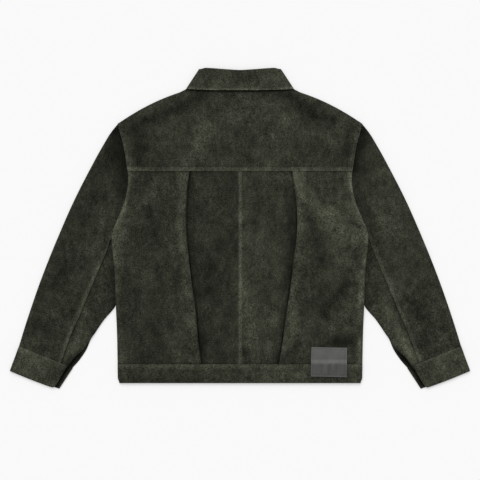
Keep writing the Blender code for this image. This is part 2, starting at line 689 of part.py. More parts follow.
def collar_back(across, depth):
    """Plan point of the collar's back; depth runs from its fold line to its free edge."""
    half = abs(across)
    fold_up = mix(COLLAR_TOP, COLLAR_SIDE[0][1] + COLLAR_TOP_DIP, half ** COLLAR_TOP_BEND)
    fold_up -= COLLAR_TOP_DIP * smooth(*COLLAR_CORNER, half)
    free_up = mix(COLLAR_LOW, COLLAR_SIDE[1][1], half ** 4)
    x = across * mix(COLLAR_SIDE[0][0], COLLAR_SIDE[1][0], depth)
    inset = COLLAR_OUTWARD * (COLLAR_OUT + WALL / 2)
    up = mix(fold_up, free_up, depth) - inset.y * half ** 6
    return Vector((x - math.copysign(inset.x * half ** 3, x), up))


def collar_front(forward, depth):
    """Plan half and up of the collar's leaf below the front, from its side fold on."""
    fold = mix(Vector(COLLAR_SIDE[0]), Vector(COLLAR_FRONT[0]), forward)
    free = mix(Vector(COLLAR_SIDE[1]), Vector(COLLAR_FRONT[1]), forward)
    return mix(fold, free, depth)


def stand_depth(across):
    """How deep the stand reaches before it meets the yoke's neck."""
    low, high = 0.3, 1.0
    for _ in range(20):
        depth = (low + high) / 2
        place = collar_back(across, depth)
        if place.y > shoulder_up(abs(place.x)) + 2 * GAP:
            low = depth
        else:
            high = depth
    return low


def collar_profile(stand, free_rows, stand_rows):
    """(depth, distance from the core) from the free edge, over the fold, down the stand."""
    turn = TURN / COLLAR_FALL
    profile = [(depth, COLLAR_OUT) for depth in spread(1.0, turn, free_rows)]
    for angle in (math.pi / 3, 0.0, -math.pi / 3):
        profile.append((turn - turn * math.cos(angle), COLLAR_OUT - TURN * (1 - math.sin(angle))))
    return profile + [(depth, COLLAR_IN) for depth in spread(turn, stand, stand_rows)]


def collar(cloth, parts):
    """One folded band: back, both side turns and the leaves below the fronts."""
    free_rows, stand_rows = 3, 2
    stations = [("front", forward) for forward in spread(1.0, 0.0, 3)]
    stations += [("side", angle) for angle in spread(-math.pi / 2, math.pi / 2, 5)[1:-1]]
    half = []
    for kind, place in stations:
        line = []
        stand = mix(stand_depth(1.0), LEAF_STAND, place if kind == "front" else 0.0)
        for depth, distance in collar_profile(stand, free_rows, stand_rows):
            if kind == "side":
                depth += COLLAR_ROUND * math.cos(place) * (1 - depth)
            plan = collar_front(place if kind == "front" else 0.0, depth)
            height = -distance
            if kind == "side":
                height = distance * math.sin(place)
                plan = plan + COLLAR_OUTWARD * distance * math.cos(place)
            plan = plan - COLLAR_OUTWARD * (COLLAR_OUT + WALL / 2)
            line.append((plan.x, plan.y, COLLAR_CORE + height))
        half.append(line)
    middle = []
    for across in COLLAR_STATIONS:
        line = []
        for depth, distance in collar_profile(stand_depth(abs(across)), free_rows, stand_rows):
            plan = collar_back(across, depth)
            line.append((plan.x, plan.y, COLLAR_CORE + distance))
        middle.append(line)
    left = [[(-x, up, z) for x, up, z in line] for line in reversed(half)]
    wall("collar", half + middle + left, WALL, cloth, parts)


def hem_surface(x, up):
    """Height of the outer face of the band and of the panel above it."""
    panel = panels_level(x, up) + WALL / 2
    return panel + (BAND_WALL + GAP) * (1 - smooth(*PATCH_STEP, up - BAND_TOP))


def patch(leather, parts):
    """A plain leather patch sewn over the hem band's seam."""
    columns = 5
    middle = Vector(PATCH_CENTRE)
    seam, half = BAND_TOP + 0.0018 - middle.y, PATCH_SIZE[1] / 2
    rows = spread(-half, seam, 4) + [mix(seam, half, share) for share in PATCH_UPPER_ROWS]
    turn = Vector((math.cos(PATCH_TURN), math.sin(PATCH_TURN)))
    sections = []
    for down in rows:
        section = []
        for across in spread(-PATCH_SIZE[0] / 2, PATCH_SIZE[0] / 2, columns):
            place = middle + turn * across + turn.orthogonal() * down
            z = hem_surface(place.x, place.y) + GAP + PATCH_WALL / 2
            section.append((place.x, place.y, z))
        sections.append(section)
    wall("patch", sections, PATCH_WALL, leather, parts)


def build():
    for thing in list(bpy.data.objects):
        bpy.data.objects.remove(thing)
    parts = bpy.data.collections.new("suede_jacket")
    bpy.context.scene.collection.children.link(parts)
    suede = material("suede", (0.030, 0.032, 0.024), 0.95)
    leather = material("patch_leather", (0.098, 0.100, 0.094), 0.6)
    back_yoke(suede, parts)
    hem_band(suede, parts)
    collar(suede, parts)
    patch(leather, parts)
    for name, side in (("left", -1), ("right", 1)):
        back_panel("back_panel_" + name, side, suede, parts)
        front_panel("front_" + name, side, suede, parts)
        sleeve_upper("sleeve_upper_" + name, side, suede, parts)
        sleeve_under("sleeve_under_" + name, side, suede, parts)
        cuff("cuff_" + name, side, suede, parts)


build()
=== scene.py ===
"""The looks of a suede jacket that lies flat with its back up.

Each cloth shell stands on the form of its solid, worked out from the same sizes, with
closer rows and columns, finer creases and stitching. World axes: +X is the right of
the laid jacket seen from above, +Y runs from hem to collar, +Z is up from the surface.
Heights along the jacket ("up") are measured from the hem, widths ("half") from its
centre line. All sizes are in metres, apart from the table of folds.
"""
import math

import bpy
import numpy as np
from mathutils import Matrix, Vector
from mathutils.bvhtree import BVHTree


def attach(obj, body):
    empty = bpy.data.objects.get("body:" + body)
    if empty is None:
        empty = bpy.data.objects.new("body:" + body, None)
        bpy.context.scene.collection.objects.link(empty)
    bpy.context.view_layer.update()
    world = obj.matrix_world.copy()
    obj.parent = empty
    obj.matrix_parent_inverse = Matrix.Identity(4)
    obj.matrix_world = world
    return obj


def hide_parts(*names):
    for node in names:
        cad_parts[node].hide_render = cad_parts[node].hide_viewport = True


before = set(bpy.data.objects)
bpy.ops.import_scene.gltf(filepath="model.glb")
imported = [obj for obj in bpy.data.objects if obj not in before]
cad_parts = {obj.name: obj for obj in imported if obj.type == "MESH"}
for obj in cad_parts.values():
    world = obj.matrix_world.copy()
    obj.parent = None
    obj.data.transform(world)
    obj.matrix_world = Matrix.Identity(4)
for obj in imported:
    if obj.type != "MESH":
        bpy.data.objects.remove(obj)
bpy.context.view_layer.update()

# Walls and seams.
WALL = 0.0013            # suede
BAND_WALL = 0.0026       # hem band, two plies
CUFF_WALL = 0.0024       # cuff, two plies
PATCH_WALL = 0.0012
GAP = 0.0003             # between neighbouring pieces
SEAM_SHARE = 0.3         # of the height of a rolled side, left open at its hidden seam
INNER_SEAM = 0.0007      # the sleeve's hidden seam, between two rolled edges
LAP = 0.008              # a lapped, topstitched seam
LAP_STEP = 0.0045        # the slope beside a lap
LAP_RISE = WALL + GAP
TURN = 0.00095           # radius of a sharp fold, to the middle of the wall

# Plan of the laid jacket.
MIDDLE = 0.3437          # from the hem to the middle of the whole length
YOKE_SEAM = 0.4713
BAND_TOP = 0.0423
BAND_ROWS = (0.0, 0.012, 0.024, 0.0343, BAND_TOP)
BAND_CORNER = 0.0035     # how far the band's lower corners draw in
ARMPIT = 0.327
SHOULDER_TIP = (0.2726, 0.5763)   # half, up
SHOULDER_NECK = (0.1210, 0.6505)
SHOULDER_BULGE = 0.008
NECK_RISE = 0.016        # the back neck above the shoulder's neck end
NECK_SQUARENESS = 0.6
NECK_CORNER = 0.0024     # how far the yoke reaches up to meet the collar's corner
NECK_CORNER_IN = (0.1120, 0.1190)       # stretches over which it does, in and out of it
NECK_CORNER_OUT = (0.1200, 0.1360)
CENTRE_SEAM_EDGE = -0.003
CUFF_LENGTH = 0.059

# Levels of the middle of the wall above the surface.
FLOOR = WALL / 2
BACK = 0.0046
SLEEVE_CUFF = 0.0034     # sleeve's upper side at the cuff
SLEEVE_CAP = 0.0042      # and at the armhole
TUCK_SLEEVE = FLOOR + 0.0021    # sleeve's upper side under the body
TUCK_FRONT = 0.0037      # how far the tucked sleeve lifts the front
TUCK_BACK = 0.0030       # and the back
BAND_UP = 0.0049
CUFF_UP = 0.0043
ARMHOLE_RISE = 0.0013
PLEAT_RISE = 4 * TURN
PLEAT_DEPTH = 0.020
PLEAT_BROW = (0.008, 0.002)     # how far before its fold edge what lies on a pleat rises
PLEAT_SLOPE = 0.036

# Stretches over which one shape passes into the next, each (start, end).
# Measured up from the hem:
ARMPIT_PASS = (0.318, 0.340)
SLEEVE_LAP_END = (0.545, 0.565)
FRONT_FLARE = (0.318, 0.345)
FRONT_ROLL_END = (0.298, 0.318)
TUCK_FOOT = (0.125, 0.165)
TUCK_HEAD = (0.345, 0.385)
FLAT_SLEEVE_FOOT = (0.100, 0.150)
FLAT_SLEEVE_HEAD = (0.350, 0.390)
SLEEVE_FILL = (0.080, 0.250)
SLEEVE_FOLLOW = (0.330, 0.349)
BAND_LAP_SLOPE = (0.022, 0.0343)
# Measured across from the centre line:
TUCK_SIDE = (0.228, 0.251)
SHOULDER_ROLL = (0.112, 0.126)
FRONT_SHOULDER_ROLL = (0.119, 0.130)
# Measured from the edge that is named:
FLAT_SLEEVE_SIDE = (0.005, 0.045)       # outward from the body's side
LEAF_FADE = (0.010, 0.032)              # away from the collar's leaf
BACK_CORNER = (-0.020, -0.008)          # inward from the back's side
UNDER_CUFF = (0.006, 0.018)             # inward from the sleeve's outer fold
BELOW_YOKE = (0.0, 0.020)               # above the yoke's lap

# Side of the body: (up, half). Armhole edge above the armpit, side fold below it.
BODY_SIDE = (
    (0.000, 0.2719), (0.096, 0.2735), (0.185, 0.2766), (0.251, 0.2792), (0.305, 0.2848),
    (0.327, 0.2850), (0.343, 0.2808), (0.381, 0.2654), (0.409, 0.2554), (0.452, 0.2490),
    (0.487, 0.2530), (0.532, 0.2605), (0.576, 0.2726),
)
# Fold edge of each back pleat: (up, half).
PLEAT_EDGE_LEFT = (
    (0.020, 0.0870), (0.044, 0.0888), (0.096, 0.0945), (0.151, 0.0995), (0.263, 0.1139),
    (0.347, 0.1219), (0.423, 0.1202), (0.474, 0.1133), (0.490, 0.1105),
)
PLEAT_EDGE_RIGHT = (
    (0.020, 0.0870), (0.044, 0.0890), (0.096, 0.0970), (0.151, 0.1048), (0.263, 0.1206),
    (0.347, 0.1286), (0.423, 0.1252), (0.474, 0.1178), (0.490, 0.1150),
)
# Sleeve guides, from the armhole to the cuff seam: (half, up).
SLEEVE_OUTER = (
    (0.2730, 0.5755), (0.2866, 0.5585), (0.2979, 0.5407), (0.3231, 0.4962), (0.3687, 0.4072),
    (0.4078, 0.3182), (0.4432, 0.2292), (0.4739, 0.1402), (0.4919, 0.0823),
)
SLEEVE_SEAM = (
    (0.2705, 0.3490), (0.2800, 0.3330), (0.2890, 0.3160), (0.2955, 0.2960), (0.3115, 0.2570),
    (0.3338, 0.2047), (0.3560, 0.1513), (0.3756, 0.1068), (0.3978, 0.0456),
)
SLEEVE_INNER = (
    (0.2555, 0.3250), (0.2565, 0.2950), (0.2590, 0.2600), (0.2640, 0.2200), (0.2710, 0.1870),
    (0.2800, 0.1670), (0.3030, 0.1400), (0.3302, 0.0995), (0.3471, 0.0745), (0.3668, 0.0578),
    (0.3840, 0.0385),
)
SLEEVE_INNER_LOW = SLEEVE_INNER[:-3] + ((0.3412, 0.0745), (0.3566, 0.0512), (0.3725, 0.0330))
# Shares of the sleeve's length.
VENT_START = (0.68, 0.75)
SLEEVE_LAST = (0.90, 1.0)
# Cuff corners: (half, up), on the seam line and on the free edge.
CUFF_OUTER = ((0.4919, 0.0823), (0.5124, 0.0272))
CUFF_INNER = ((0.3840, 0.0385), (0.4132, -0.0112))
CUFF_INNER_LOW = ((0.3725, 0.0330), (0.4023, -0.0127))
CUFF_BOW = 0.0012        # how far the middle of the cuff's free edge bows out
CUFF_CORNER = (0.88, 0.006)   # share of the length and depth of the vent corner's rounding

FRONT_ARMHOLE_FOOT = (0.2590, 0.3450)   # half, up
FRONT_SHOULDER_TIP = 0.2700
SEAM_TO_VENT = 0.0195    # from the cuff's vent edge to the middle of the sleeve's lap
STRIP_EASE = 0.001       # how much wider the cuff rises than that lap
CUFF_SETTLED = 0.35      # share of the cuff's length by which it has come down off the sleeve

# Collar corners: (half, up). Side fold line, and the front leaf under the jacket.
COLLAR_SIDE = ((0.0903, 0.7000), (0.1193, 0.6557))
COLLAR_FRONT = ((0.0067, 0.6030), (0.0757, 0.5450))
COLLAR_TOP = 0.6956      # fold line at the centre back
COLLAR_TOP_DIP = 0.0024  # how far the fold line drops at its corners
COLLAR_TOP_BEND = 1.2
COLLAR_LOW = 0.6514      # free edge at the centre back
COLLAR_CORE = 0.003575   # level about which the collar turns at its sides
COLLAR_OUT = COLLAR_CORE - FLOOR
COLLAR_OUTWARD = Vector((COLLAR_SIDE[0][1] - COLLAR_SIDE[1][1],
                         COLLAR_SIDE[1][0] - COLLAR_SIDE[0][0])).normalized()
COLLAR_IN = COLLAR_OUT - 2 * TURN
COLLAR_FALL = 0.048      # from the fold line to the free edge
LEAF_STAND = 0.36        # the stand's share of the fall at the collar's front end
COLLAR_CORNER = (0.86, 1.0)             # share of the way to the side fold
COLLAR_ROUND = 0.035     # how far its corner is rounded, as a share of the side fold
LEAF_LIFT = 2 * TURN

# Neck edge of a front: (half, up).
FRONT_NECK = (
    (0.0000, 0.5670), (0.0286, 0.5784), (0.0789, 0.6122), (0.1155, 0.6508), (0.1195, 0.6520),
)
# Rows of a front at its side, closer where the sleeve is tucked below it.
FRONT_ROWS = (
    0.0426, 0.085, 0.125, 0.138, 0.152, 0.165, 0.215, 0.265, 0.298, 0.308, 0.318, 0.327,
    0.336, 0.345, 0.358, 0.371, 0.385, 0.420, 0.450, 0.485, 0.515, 0.545, 0.5763,
)
# Columns of a front, as shares from the centre front to the side.
FRONT_COLUMNS = (0.0, 0.06, 0.12, 0.20, 0.30, 0.43, 0.57, 0.70, 0.80, 0.86, 0.91, 1.0)
# Columns of the sleeve's under side, as shares from its outer to its inner edge.
UNDER_SIDE_COLUMNS = (0.904, 0.838, 0.760, 0.40)

# Patch on the right of the hem: centre, size and turn.
PATCH_CENTRE = (0.1978, 0.0468)
PATCH_SIZE = (0.0790, 0.0650)
PATCH_TURN = math.radians(-1.2)
PATCH_LINE = 0.0038      # from the patch's edge to its pressed, stitched line
PATCH_STEP = (0.0026, 0.0105)           # above the band, where the patch comes down off it

# Soft folds and creases of the upper side, in millimetres: start x, start up, end x,
# end up, half width, height. The last column is how much lighter it is there: painted
# highlight on the raised folds and painted shade in the hollows, with some nap brushed
# lighter or darker.
FOLDS_MM = (
    (-27, 603, -111, 487, 13, 1.2, 0.16),
    (-4, 634, -27, 612, 11, 0.2, -0.14),
    (4, 621, 116, 496, 18, 1.2, 0.10),
    (0, 563, 0, 501, 31, -0.7, -0.12),
    (-82, 639, -129, 616, 13, -0.8, -0.60),
    (-165, 630, -196, 612, 8, 0.2, 0.34),
    (-138, 643, -129, 647, 8, 0.2, 0.26),
    (-194, 594, -205, 585, 9, -0.3, -0.26),
    (-129, 614, -209, 581, 13, -0.7, -0.50),
    (-107, 581, -178, 463, 11, -0.5, -0.20),
    (-225, 570, -223, 496, 18, -0.6, -0.62),
    (-216, 561, -214, 558, 11, 0.3, 0.22),
    (-247, 503, -243, 478, 8, 0.2, 0.30),
    (98, 641, 138, 623, 13, -0.8, -0.62),
    (156, 612, 205, 590, 13, -0.5, -0.26),
    (65, 636, 73, 634, 9, 0.2, 0.26),
    (136, 612, 205, 581, 13, -0.6, -0.32),
    (111, 541, 234, 483, 13, -0.6, -0.14),
    (138, 507, 142, 505, 18, -0.4, -0.24),
    (238, 525, 240, 510, 11, -0.4, -0.34),
    (211, 541, 234, 523, 20, -0.3, -0.12),
    (151, 612, 174, 567, 18, -0.3, -0.14),
    (-71, 576, -105, 518, 11, 1.2, 0.56),
    (-40, 612, -53, 594, 11, 0.3, -0.16),
    (-158, 563, -158, 536, 11, 0.4, 0.26),
    (-147, 558, -138, 556, 20, 0.5, 0.20),
    (102, 581, 113, 556, 16, 0.5, 0.36),
    (67, 630, 76, 616, 13, 0.3, 0.26),
    (80, 525, 85, 523, 11, -0.2, -0.24),
    (-31, 581, -9, 576, 16, 0.4, 0.20),
    (53, 634, 62, 574, 11, 0.4, 0.18),
    (-69, 630, -58, 616, 11, 0.3, 0.18),
    (196, 563, 207, 485, 9, 0.5, 0.20),
    (-171, 518, -189, 483, 13, -0.4, -0.24),
    (118, 465, 174, 389, 18, 1.4, 0.52),
    (147, 465, 160, 447, 11, 0.2, 0.22),
    (89, 456, 107, 456, 11, 0.3, 0.34),
    (142, 465, 158, 447, 11, 0.3, 0.28),
    (174, 389, 265, 338, 18, 1.1, 0.66),
    (200, 345, 240, 323, 16, 0.5, 0.26),
    (151, 349, 167, 318, 11, 0.3, 0.28),
    (225, 416, 249, 372, 13, 0.4, 0.30),
    (200, 374, 223, 296, 24, 0.6, 0.40),
    (142, 394, 169, 318, 10, -1.1, -0.40),
    (113, 352, 107, 238, 11, -0.5, -0.42),
    (100, 429, 116, 352, 9, -0.2, -0.20),
    (169, 318, 182, 260, 12, -0.7, -0.26),
    (140, 323, 131, 207, 18, -0.3, -0.24),
    (234, 363, 265, 347, 6, -0.7, -0.55),
    (249, 311, 271, 327, 7, 0.5, 0.30),
    (258, 287, 260, 265, 8, -0.2, -0.34),
    (240, 223, 189, 158, 12, -1.2, -0.60),
    (243, 240, 249, 231, 9, 0.4, 0.30),
    (263, 189, 214, 134, 12, 0.6, 0.36),
    (269, 247, 267, 145, 8, 0.2, 0.56),
    (283, 332, 280, 269, 7, 0.2, 0.60),
    (256, 136, 256, 122, 11, 0.4, 0.28),
    (202, 118, 209, 109, 9, 0.4, 0.34),
    (220, 91, 249, 91, 13, -0.7, -0.85),
    (249, 474, 249, 412, 16, 0.4, 0.24),
    (245, 336, 271, 340, 9, 0.2, 0.24),
    (127, 87, 96, 51, 10, -0.7, -0.42),
    (129, 189, 120, 118, 9, 0.4, 0.20),
    (265, 89, 265, 51, 9, 0.2, 0.35),
    (225, 285, 238, 269, 13, 0.3, 0.20),
    (7, 223, 20, 85, 12, 1.1, 0.46),
    (27, 158, 40, 105, 11, 0.4, 0.36),
    (80, 185, 80, 136, 9, 0.4, 0.34),
    (27, 171, 29, 154, 9, 0.3, 0.26),
    (56, 207, 56, 185, 11, -0.3, -0.24),
    (-18, 296, -9, 207, 9, 0.5, 0.24),
    (62, 162, 71, 85, 13, 0.5, 0.24),
    (7, 76, 20, 47, 7, -0.6, -0.40),
    (40, 434, 29, 318, 11, -0.4, -0.20),
    (-73, 265, -62, 194, 20, -0.6, -0.32),
    (-78, 165, -76, 151, 11, 0.3, 0.24),
    (-62, 127, -60, 118, 9, -0.3, -0.24),
    (-96, 461, -96, 443, 11, 0.3, 0.24),
    (-105, 65, -80, 100, 13, -0.6, -0.42),
    (-44, 456, -24, 434, 16, -0.3, -0.20),
    (-93, 469, -71, 469, 9, -0.3, -0.22),
    (-111, 447, -76, 425, 13, 0.3, 0.14),
    (-98, 269, -76, 283, 11, 0.3, 0.14),
    (-176, 447, -220, 398, 16, 1.0, 0.36),
    (-200, 378, -180, 303, 16, -0.8, -0.32),
    (-256, 385, -274, 283, 16, 0.7, 0.60),
    (-136, 385, -129, 316, 9, 0.5, 0.22),
    (-211, 238, -180, 271, 18, 0.6, 0.24),
    (-167, 185, -129, 109, 11, 0.5, 0.24),
    (-216, 125, -207, 111, 11, 0.4, 0.30),
    (-260, 349, -236, 283, 13, 0.4, 0.28),
    (-269, 407, -265, 396, 11, -0.3, -0.24),
    (-207, 109, -176, 82, 18, -0.6, -0.26),
    (-265, 78, -265, 49, 9, 0.2, 0.36),
    (-231, 73, -218, 47, 11, -0.3, -0.24),
    (-238, 185, -209, 145, 16, -0.3, -0.12),
    (-296, 378, -316, 300, 20, 0.9, 0.48),
    (-287, 523, -325, 412, 12, -0.5, -0.28),
    (-325, 407, -352, 327, 13, -0.4, -0.26),
    (-369, 287, -407, 225, 20, -0.7, -0.32),
    (-345, 185, -356, 109, 10, 0.6, 0.48),
    (-363, 96, -392, 65, 10, 0.4, 0.46),
    (-365, 80, -372, 67, 8, 0.2, 0.30),
    (-472, 65, -461, 53, 11, 0.3, 0.28),
    (-412, 18, -405, 2, 13, -0.4, -0.48),
    (-347, 154, -356, 113, 11, 0.5, 0.56),
    (-343, 105, -369, 69, 9, 0.3, 0.46),
    (-311, 256, -316, 238, 8, 0.3, 0.30),
    (-360, 91, -383, 65, 13, 0.4, 0.60),
    (-494, 69, -454, 49, 13, 0.3, 0.30),
    (-320, 247, -329, 216, 9, 0.4, 0.44),
    (-285, 318, -289, 269, 9, 0.3, 0.50),
    (409, 16, 403, 0, 13, -0.4, -0.40),
    (463, 69, 494, 56, 11, 0.3, 0.26),
    (365, 96, 389, 51, 11, 0.4, 0.56),
    (427, 51, 456, 60, 9, 0.3, 0.30),
    (356, 194, 365, 176, 11, 0.4, 0.36),
    (-489, 69, -438, 49, 13, 0.3, 0.22),
    (-401, 158, -423, 118, 16, -0.3, -0.16),
    (291, 398, 320, 343, 16, 0.8, 0.44),
    (314, 461, 320, 443, 16, 0.4, 0.28),
    (345, 352, 347, 340, 11, -0.3, -0.22),
    (380, 296, 387, 283, 13, 0.4, 0.26),
    (374, 78, 385, 65, 9, 0.3, 0.30),
    (338, 389, 360, 323, 18, 0.7, 0.24),
    (294, 269, 307, 194, 10, -0.5, -0.34),
    (320, 247, 347, 202, 13, 0.5, 0.26),
    (325, 167, 385, 62, 11, 0.6, 0.50),
    (380, 187, 425, 116, 16, -0.7, -0.32),
    (429, 269, 452, 202, 13, -0.5, -0.26),
    (409, 118, 427, 69, 13, -0.3, -0.20),
    (409, 340, 432, 283, 13, 0.5, 0.12),
    (474, 185, 494, 85, 11, 0.4, 0.10),
    (-429, 185, -454, 107, 13, 0.4, 0.10),
    (409, 24, 494, 47, 13, 0.3, 0.12),
    (-271, 501, -316, 483, 7, -0.4, -0.16),
    (271, 496, 320, 478, 7, -0.4, -0.16),
    (-276, 318, -305, 303, 6, -0.4, -0.16),
    (280, 303, 307, 287, 6, -0.4, -0.18),
    (-401, 69, -387, 96, 7, -0.3, -0.12),
    (398, 69, 385, 100, 7, -0.3, -0.12),
    (-467, 100, -449, 80, 7, 0.3, 0.10),
    (13, 29, 53, 20, 11, 0.3, 0.30),
    (91, 29, 136, 18, 11, 0.3, 0.30),
    (249, 24, 260, 11, 11, 0.2, 0.30),
    (-231, 7, -134, 0, 13, -0.3, -0.50),
    (178, 2, 227, 2, 11, -0.2, -0.34),
    (49, 29, 89, 33, 9, 0.3, 0.28),
    (-160, 69, -138, 60, 11, 0.3, 0.30),
    (-80, 56, -62, 51, 9, 0.3, 0.30),
    (-142, 4, -89, 2, 9, -0.2, -0.20),
    (89, 9, 125, 7, 11, 0.2, 0.34),
    (100, 20, 111, 13, 9, 0.2, 0.22),
    (-82, 24, -58, 38, 9, 0.2, 0.20),
)
FOLDS = [[value / 1000 for value in row[:6]] + [row[6]] for row in FOLDS_MM]
HEIGHT, TONE = 5, 6      # columns of the folds and of the patch's wrinkles
SHADE = 5                # column of the collar's shades
# The same of the fronts, seen from below: start x, start up, end x, end up, half width, height.
FRONT_FOLDS = (
    (-0.060, 0.480, -0.170, 0.380, 0.018, 0.0008),
    (0.070, 0.470, 0.180, 0.350, 0.020, 0.0007),
    (-0.200, 0.430, -0.215, 0.330, 0.014, 0.0006),
    (0.210, 0.470, 0.190, 0.400, 0.014, 0.0006),
    (-0.120, 0.280, -0.080, 0.120, 0.018, 0.0007),
    (0.110, 0.250, 0.085, 0.100, 0.016, 0.0007),
    (-0.220, 0.110, -0.170, 0.070, 0.012, 0.0005),
    (0.225, 0.100, 0.150, 0.068, 0.013, 0.0006),
    (0.040, 0.330, 0.035, 0.220, 0.010, 0.0005),
    (-0.035, 0.380, -0.045, 0.300, 0.010, 0.0004),
)
# Painted shade and highlight of the collar's folds: start x, start up, end x, end up, half width, tone.
COLLAR_SHADES = (
    (0.010, 0.676, 0.018, 0.680, 0.012, -0.34),
    (-0.067, 0.690, -0.055, 0.686, 0.012, 0.18),
    (0.080, 0.690, 0.095, 0.672, 0.014, 0.18),
    (-0.013, 0.665, -0.004, 0.660, 0.010, 0.14),
    (-0.100, 0.664, -0.085, 0.690, 0.010, -0.10),
)
# Soft creases of the patch, with their painted shade and highlight: as for the folds above.
PATCH_WRINKLES = (
    (0.182, 0.041, 0.181, 0.022, 0.0024, -0.00030, -0.16),
    (0.189, 0.040, 0.190, 0.026, 0.0020, 0.00025, 0.14),
    (0.199, 0.041, 0.198, 0.020, 0.0026, -0.00030, -0.18),
    (0.206, 0.040, 0.208, 0.028, 0.0020, 0.00025, 0.12),
    (0.215, 0.041, 0.214, 0.024, 0.0024, -0.00025, -0.13),
    (0.192, 0.058, 0.196, 0.049, 0.0034, -0.00020, -0.09),
    (0.205, 0.066, 0.201, 0.052, 0.0030, 0.00020, 0.06),
    (0.170, 0.070, 0.182, 0.066, 0.0050, 0.00015, 0.05),
)
# Soft bands of painted highlight and painted shade along edges, seams and folds: (strength, distance from
# the named edge, width).
PLEAT_SHADOW = ((0.60, 0.0, 0.0034), (0.38, 0.0, 0.019))    # painted shadow, inward from a pleat's fold edge
PLEAT_HIGHLIGHT = ((0.60, -0.009, 0.014),)
CENTRE_STRIP_HIGHLIGHT = ((0.95, 0.003, 0.0036),)
SIDE_RIM_HIGHLIGHT = (0.15, 1.30)                 # painted highlight at the side fold, and what the armhole adds
SIDE_RIM_PLACE = (0.002, 0.0036)
SIDE_GLOW = ((0.30, 0.007, 0.006),)
HEM_SHADE = ((0.25, 0.0012, 0.0015),)
YOKE_LAP_LIGHT_AND_SHADOW = ((0.25, 0.002, 0.0018), (-0.24, 0.0106, 0.0022))
YOKE_RIM_HIGHLIGHT = ((0.30, 0.004, 0.005),)
YOKE_SHADOW_BELOW_COLLAR = ((0.92, 0.0, 0.0036), (0.22, 0.0, 0.014))
BAND_GLOW = ((0.55, -0.0035, 0.0055),)
SLEEVE_SEAM_GLOW = ((0.55, 0.004, 0.004),)
SLEEVE_ARMHOLE_SHADE = ((0.36, 0.0, 0.030),)
UNDER_BODY_SHADOW = ((0.45, 0.0, 0.014),)
CUFF_SEAM_GLOW = ((0.55, 0.0012, 0.0020),)
CUFF_VENT_SHADE = ((0.50, 0.0, 0.0040),)
COLLAR_EDGE_HIGHLIGHT = ((1.25, 0.0, 0.0025), (0.26, 0.0, 0.013))
PATCH_STEP_HIGHLIGHT = ((0.12, 0.002, 0.003),)
PATCH_EDGE_LIGHT_AND_SHADE = ((0.26, 0.0, 0.0016), (-0.22, PATCH_LINE, 0.0012))
PATCH_PRESSED = ((-0.00025, PATCH_LINE, 0.0011),)       # height
VENT_GLOW = ((0.62, 0.0, 0.0050),)
# Lightness of each field of nap, left and right.
SIDE_FIELDS = (0.84, 0.96)
CENTRE_FIELDS = (0.81, 1.05)
SLEEVE_TONES = {-1: 0.86, 1: 0.98}
UNDER_TONES = {-1: 0.79, 1: 1.14}
CAP_SHADE = 0.72         # painted shade of the sleeve beside the armhole, near the shoulder
CAP_REACH = {-1: 0.028, 1: 0.020}
YOKE_TONE = 1.03
# Painted highlight on the yoke's raised, lapped strip.
YOKE_LAP_HIGHLIGHT = 0.50
BAND_TONE = 0.98
CUFF_TONE = 1.21
COLLAR_TONE = 1.08
PATCH_TONE = (0.60, 0.32)               # on the band, and what is added above it
# Painted shade of the layer seen through a vent.
VENT_LAYER_SHADE = 0.07
DARK_GAIN = 1.15         # how fast overlapping shades darken
SEAM_SHADOW = (0.45, 0.003)              # painted shadow: strength and width, below the sleeve's lapped seam
FOLD_SHADE = (0.55, 0.0022)             # painted shade: the same, at its inner fold
# Stretches over which a tone or a height comes in, each (start, end).
PLEAT_EDGE_FADE = (-0.0008, 0.0006)
ARMHOLE_FADE = (ARMPIT, 0.40)
YOKE_LAP_FADE = (0.0076, 0.0092)
COLLAR_REACH = (0.135, 0.118)
CAP_FADE = (0.40, 0.50)
CUFF_VENT_FADE = (0.016, 0.030)
PATCH_FADE = (BAND_TOP - 0.002, BAND_TOP + 0.003)
SIDE_FADE = (0.003, 0.026)
TOP_FADE = (0.002, 0.024)
HEM_FADE = (-0.002, 0.014)
HEM_FADE_REACH = 0.29    # half width within which the hem fades the folds
FRONT_SIDE_FADE = (0.004, 0.030)
FRONT_CENTRE_FADE = (0.0, 0.012)
FRONT_FOOT_FADE = (0.043, 0.070)
FRONT_HEAD_FADE = (0.500, 0.560)
FRONT_LEVEL_FADE = (0.0015, 0.003)
UNDER_LEVEL_FADE = (0.0009, 0.0022)
UNDER_FOOT_FADE = (0.050, 0.110)
COLLAR_LEVEL_FADE = (0.0055, 0.0062)
# How the line of the painted shadow below the collar and the collar's own free edge curve to its corners.
COLLAR_HALF = 0.119
YOKE_LINE_DROP, YOKE_LINE_CURVE = 0.0005, 0.004
COLLAR_EDGE_CURVE = 0.006
# Smooth unevenness: (size, wave length, seed).
UPPER_WAVES = ((0.00022, 0.070, 3), (0.00010, 0.022, 4))
TONE_WAVES = ((0.07, 0.060, 11), (0.05, 0.022, 12))
FRONT_WAVE = (0.00012, 0.060, 21)
UNDER_WAVE, UNDER_RIPPLE = (0.00030, 0.060, 31), (0.00010, 0.020, 32)
COLLAR_WAVE = (0.00018, 0.045, 41)
WAVE_COUNT = 14
# Steps of the shells' grids.
PANEL_ROWS = 140
YOKE_ROWS = 46
SLEEVE_STEPS = 150
PATCH_ROWS, PATCH_COLUMNS = 84, 100
COLLAR_ACROSS, LEAF_ROWS, COLLAR_TURN = 72, 30, 12
PUCKER_LENGTHS = (0.0091, 0.0137, 0.0229)
PUCKER_HEIGHT = 0.00007
PUCKER_WIDTH = 0.009


def smooth(low, high, value):
    """Rise from 0 to 1 between low and high, level at both ends."""
    share = min(max((value - low) / (high - low), 0.0), 1.0)
    return share * share * (3.0 - 2.0 * share)


def mix(first, second, share):
    return first + (second - first) * share


def spread(first, last, count):
    """The places that part a stretch evenly, with both its ends."""
    return [mix(first, last, step / count) for step in range(count + 1)]


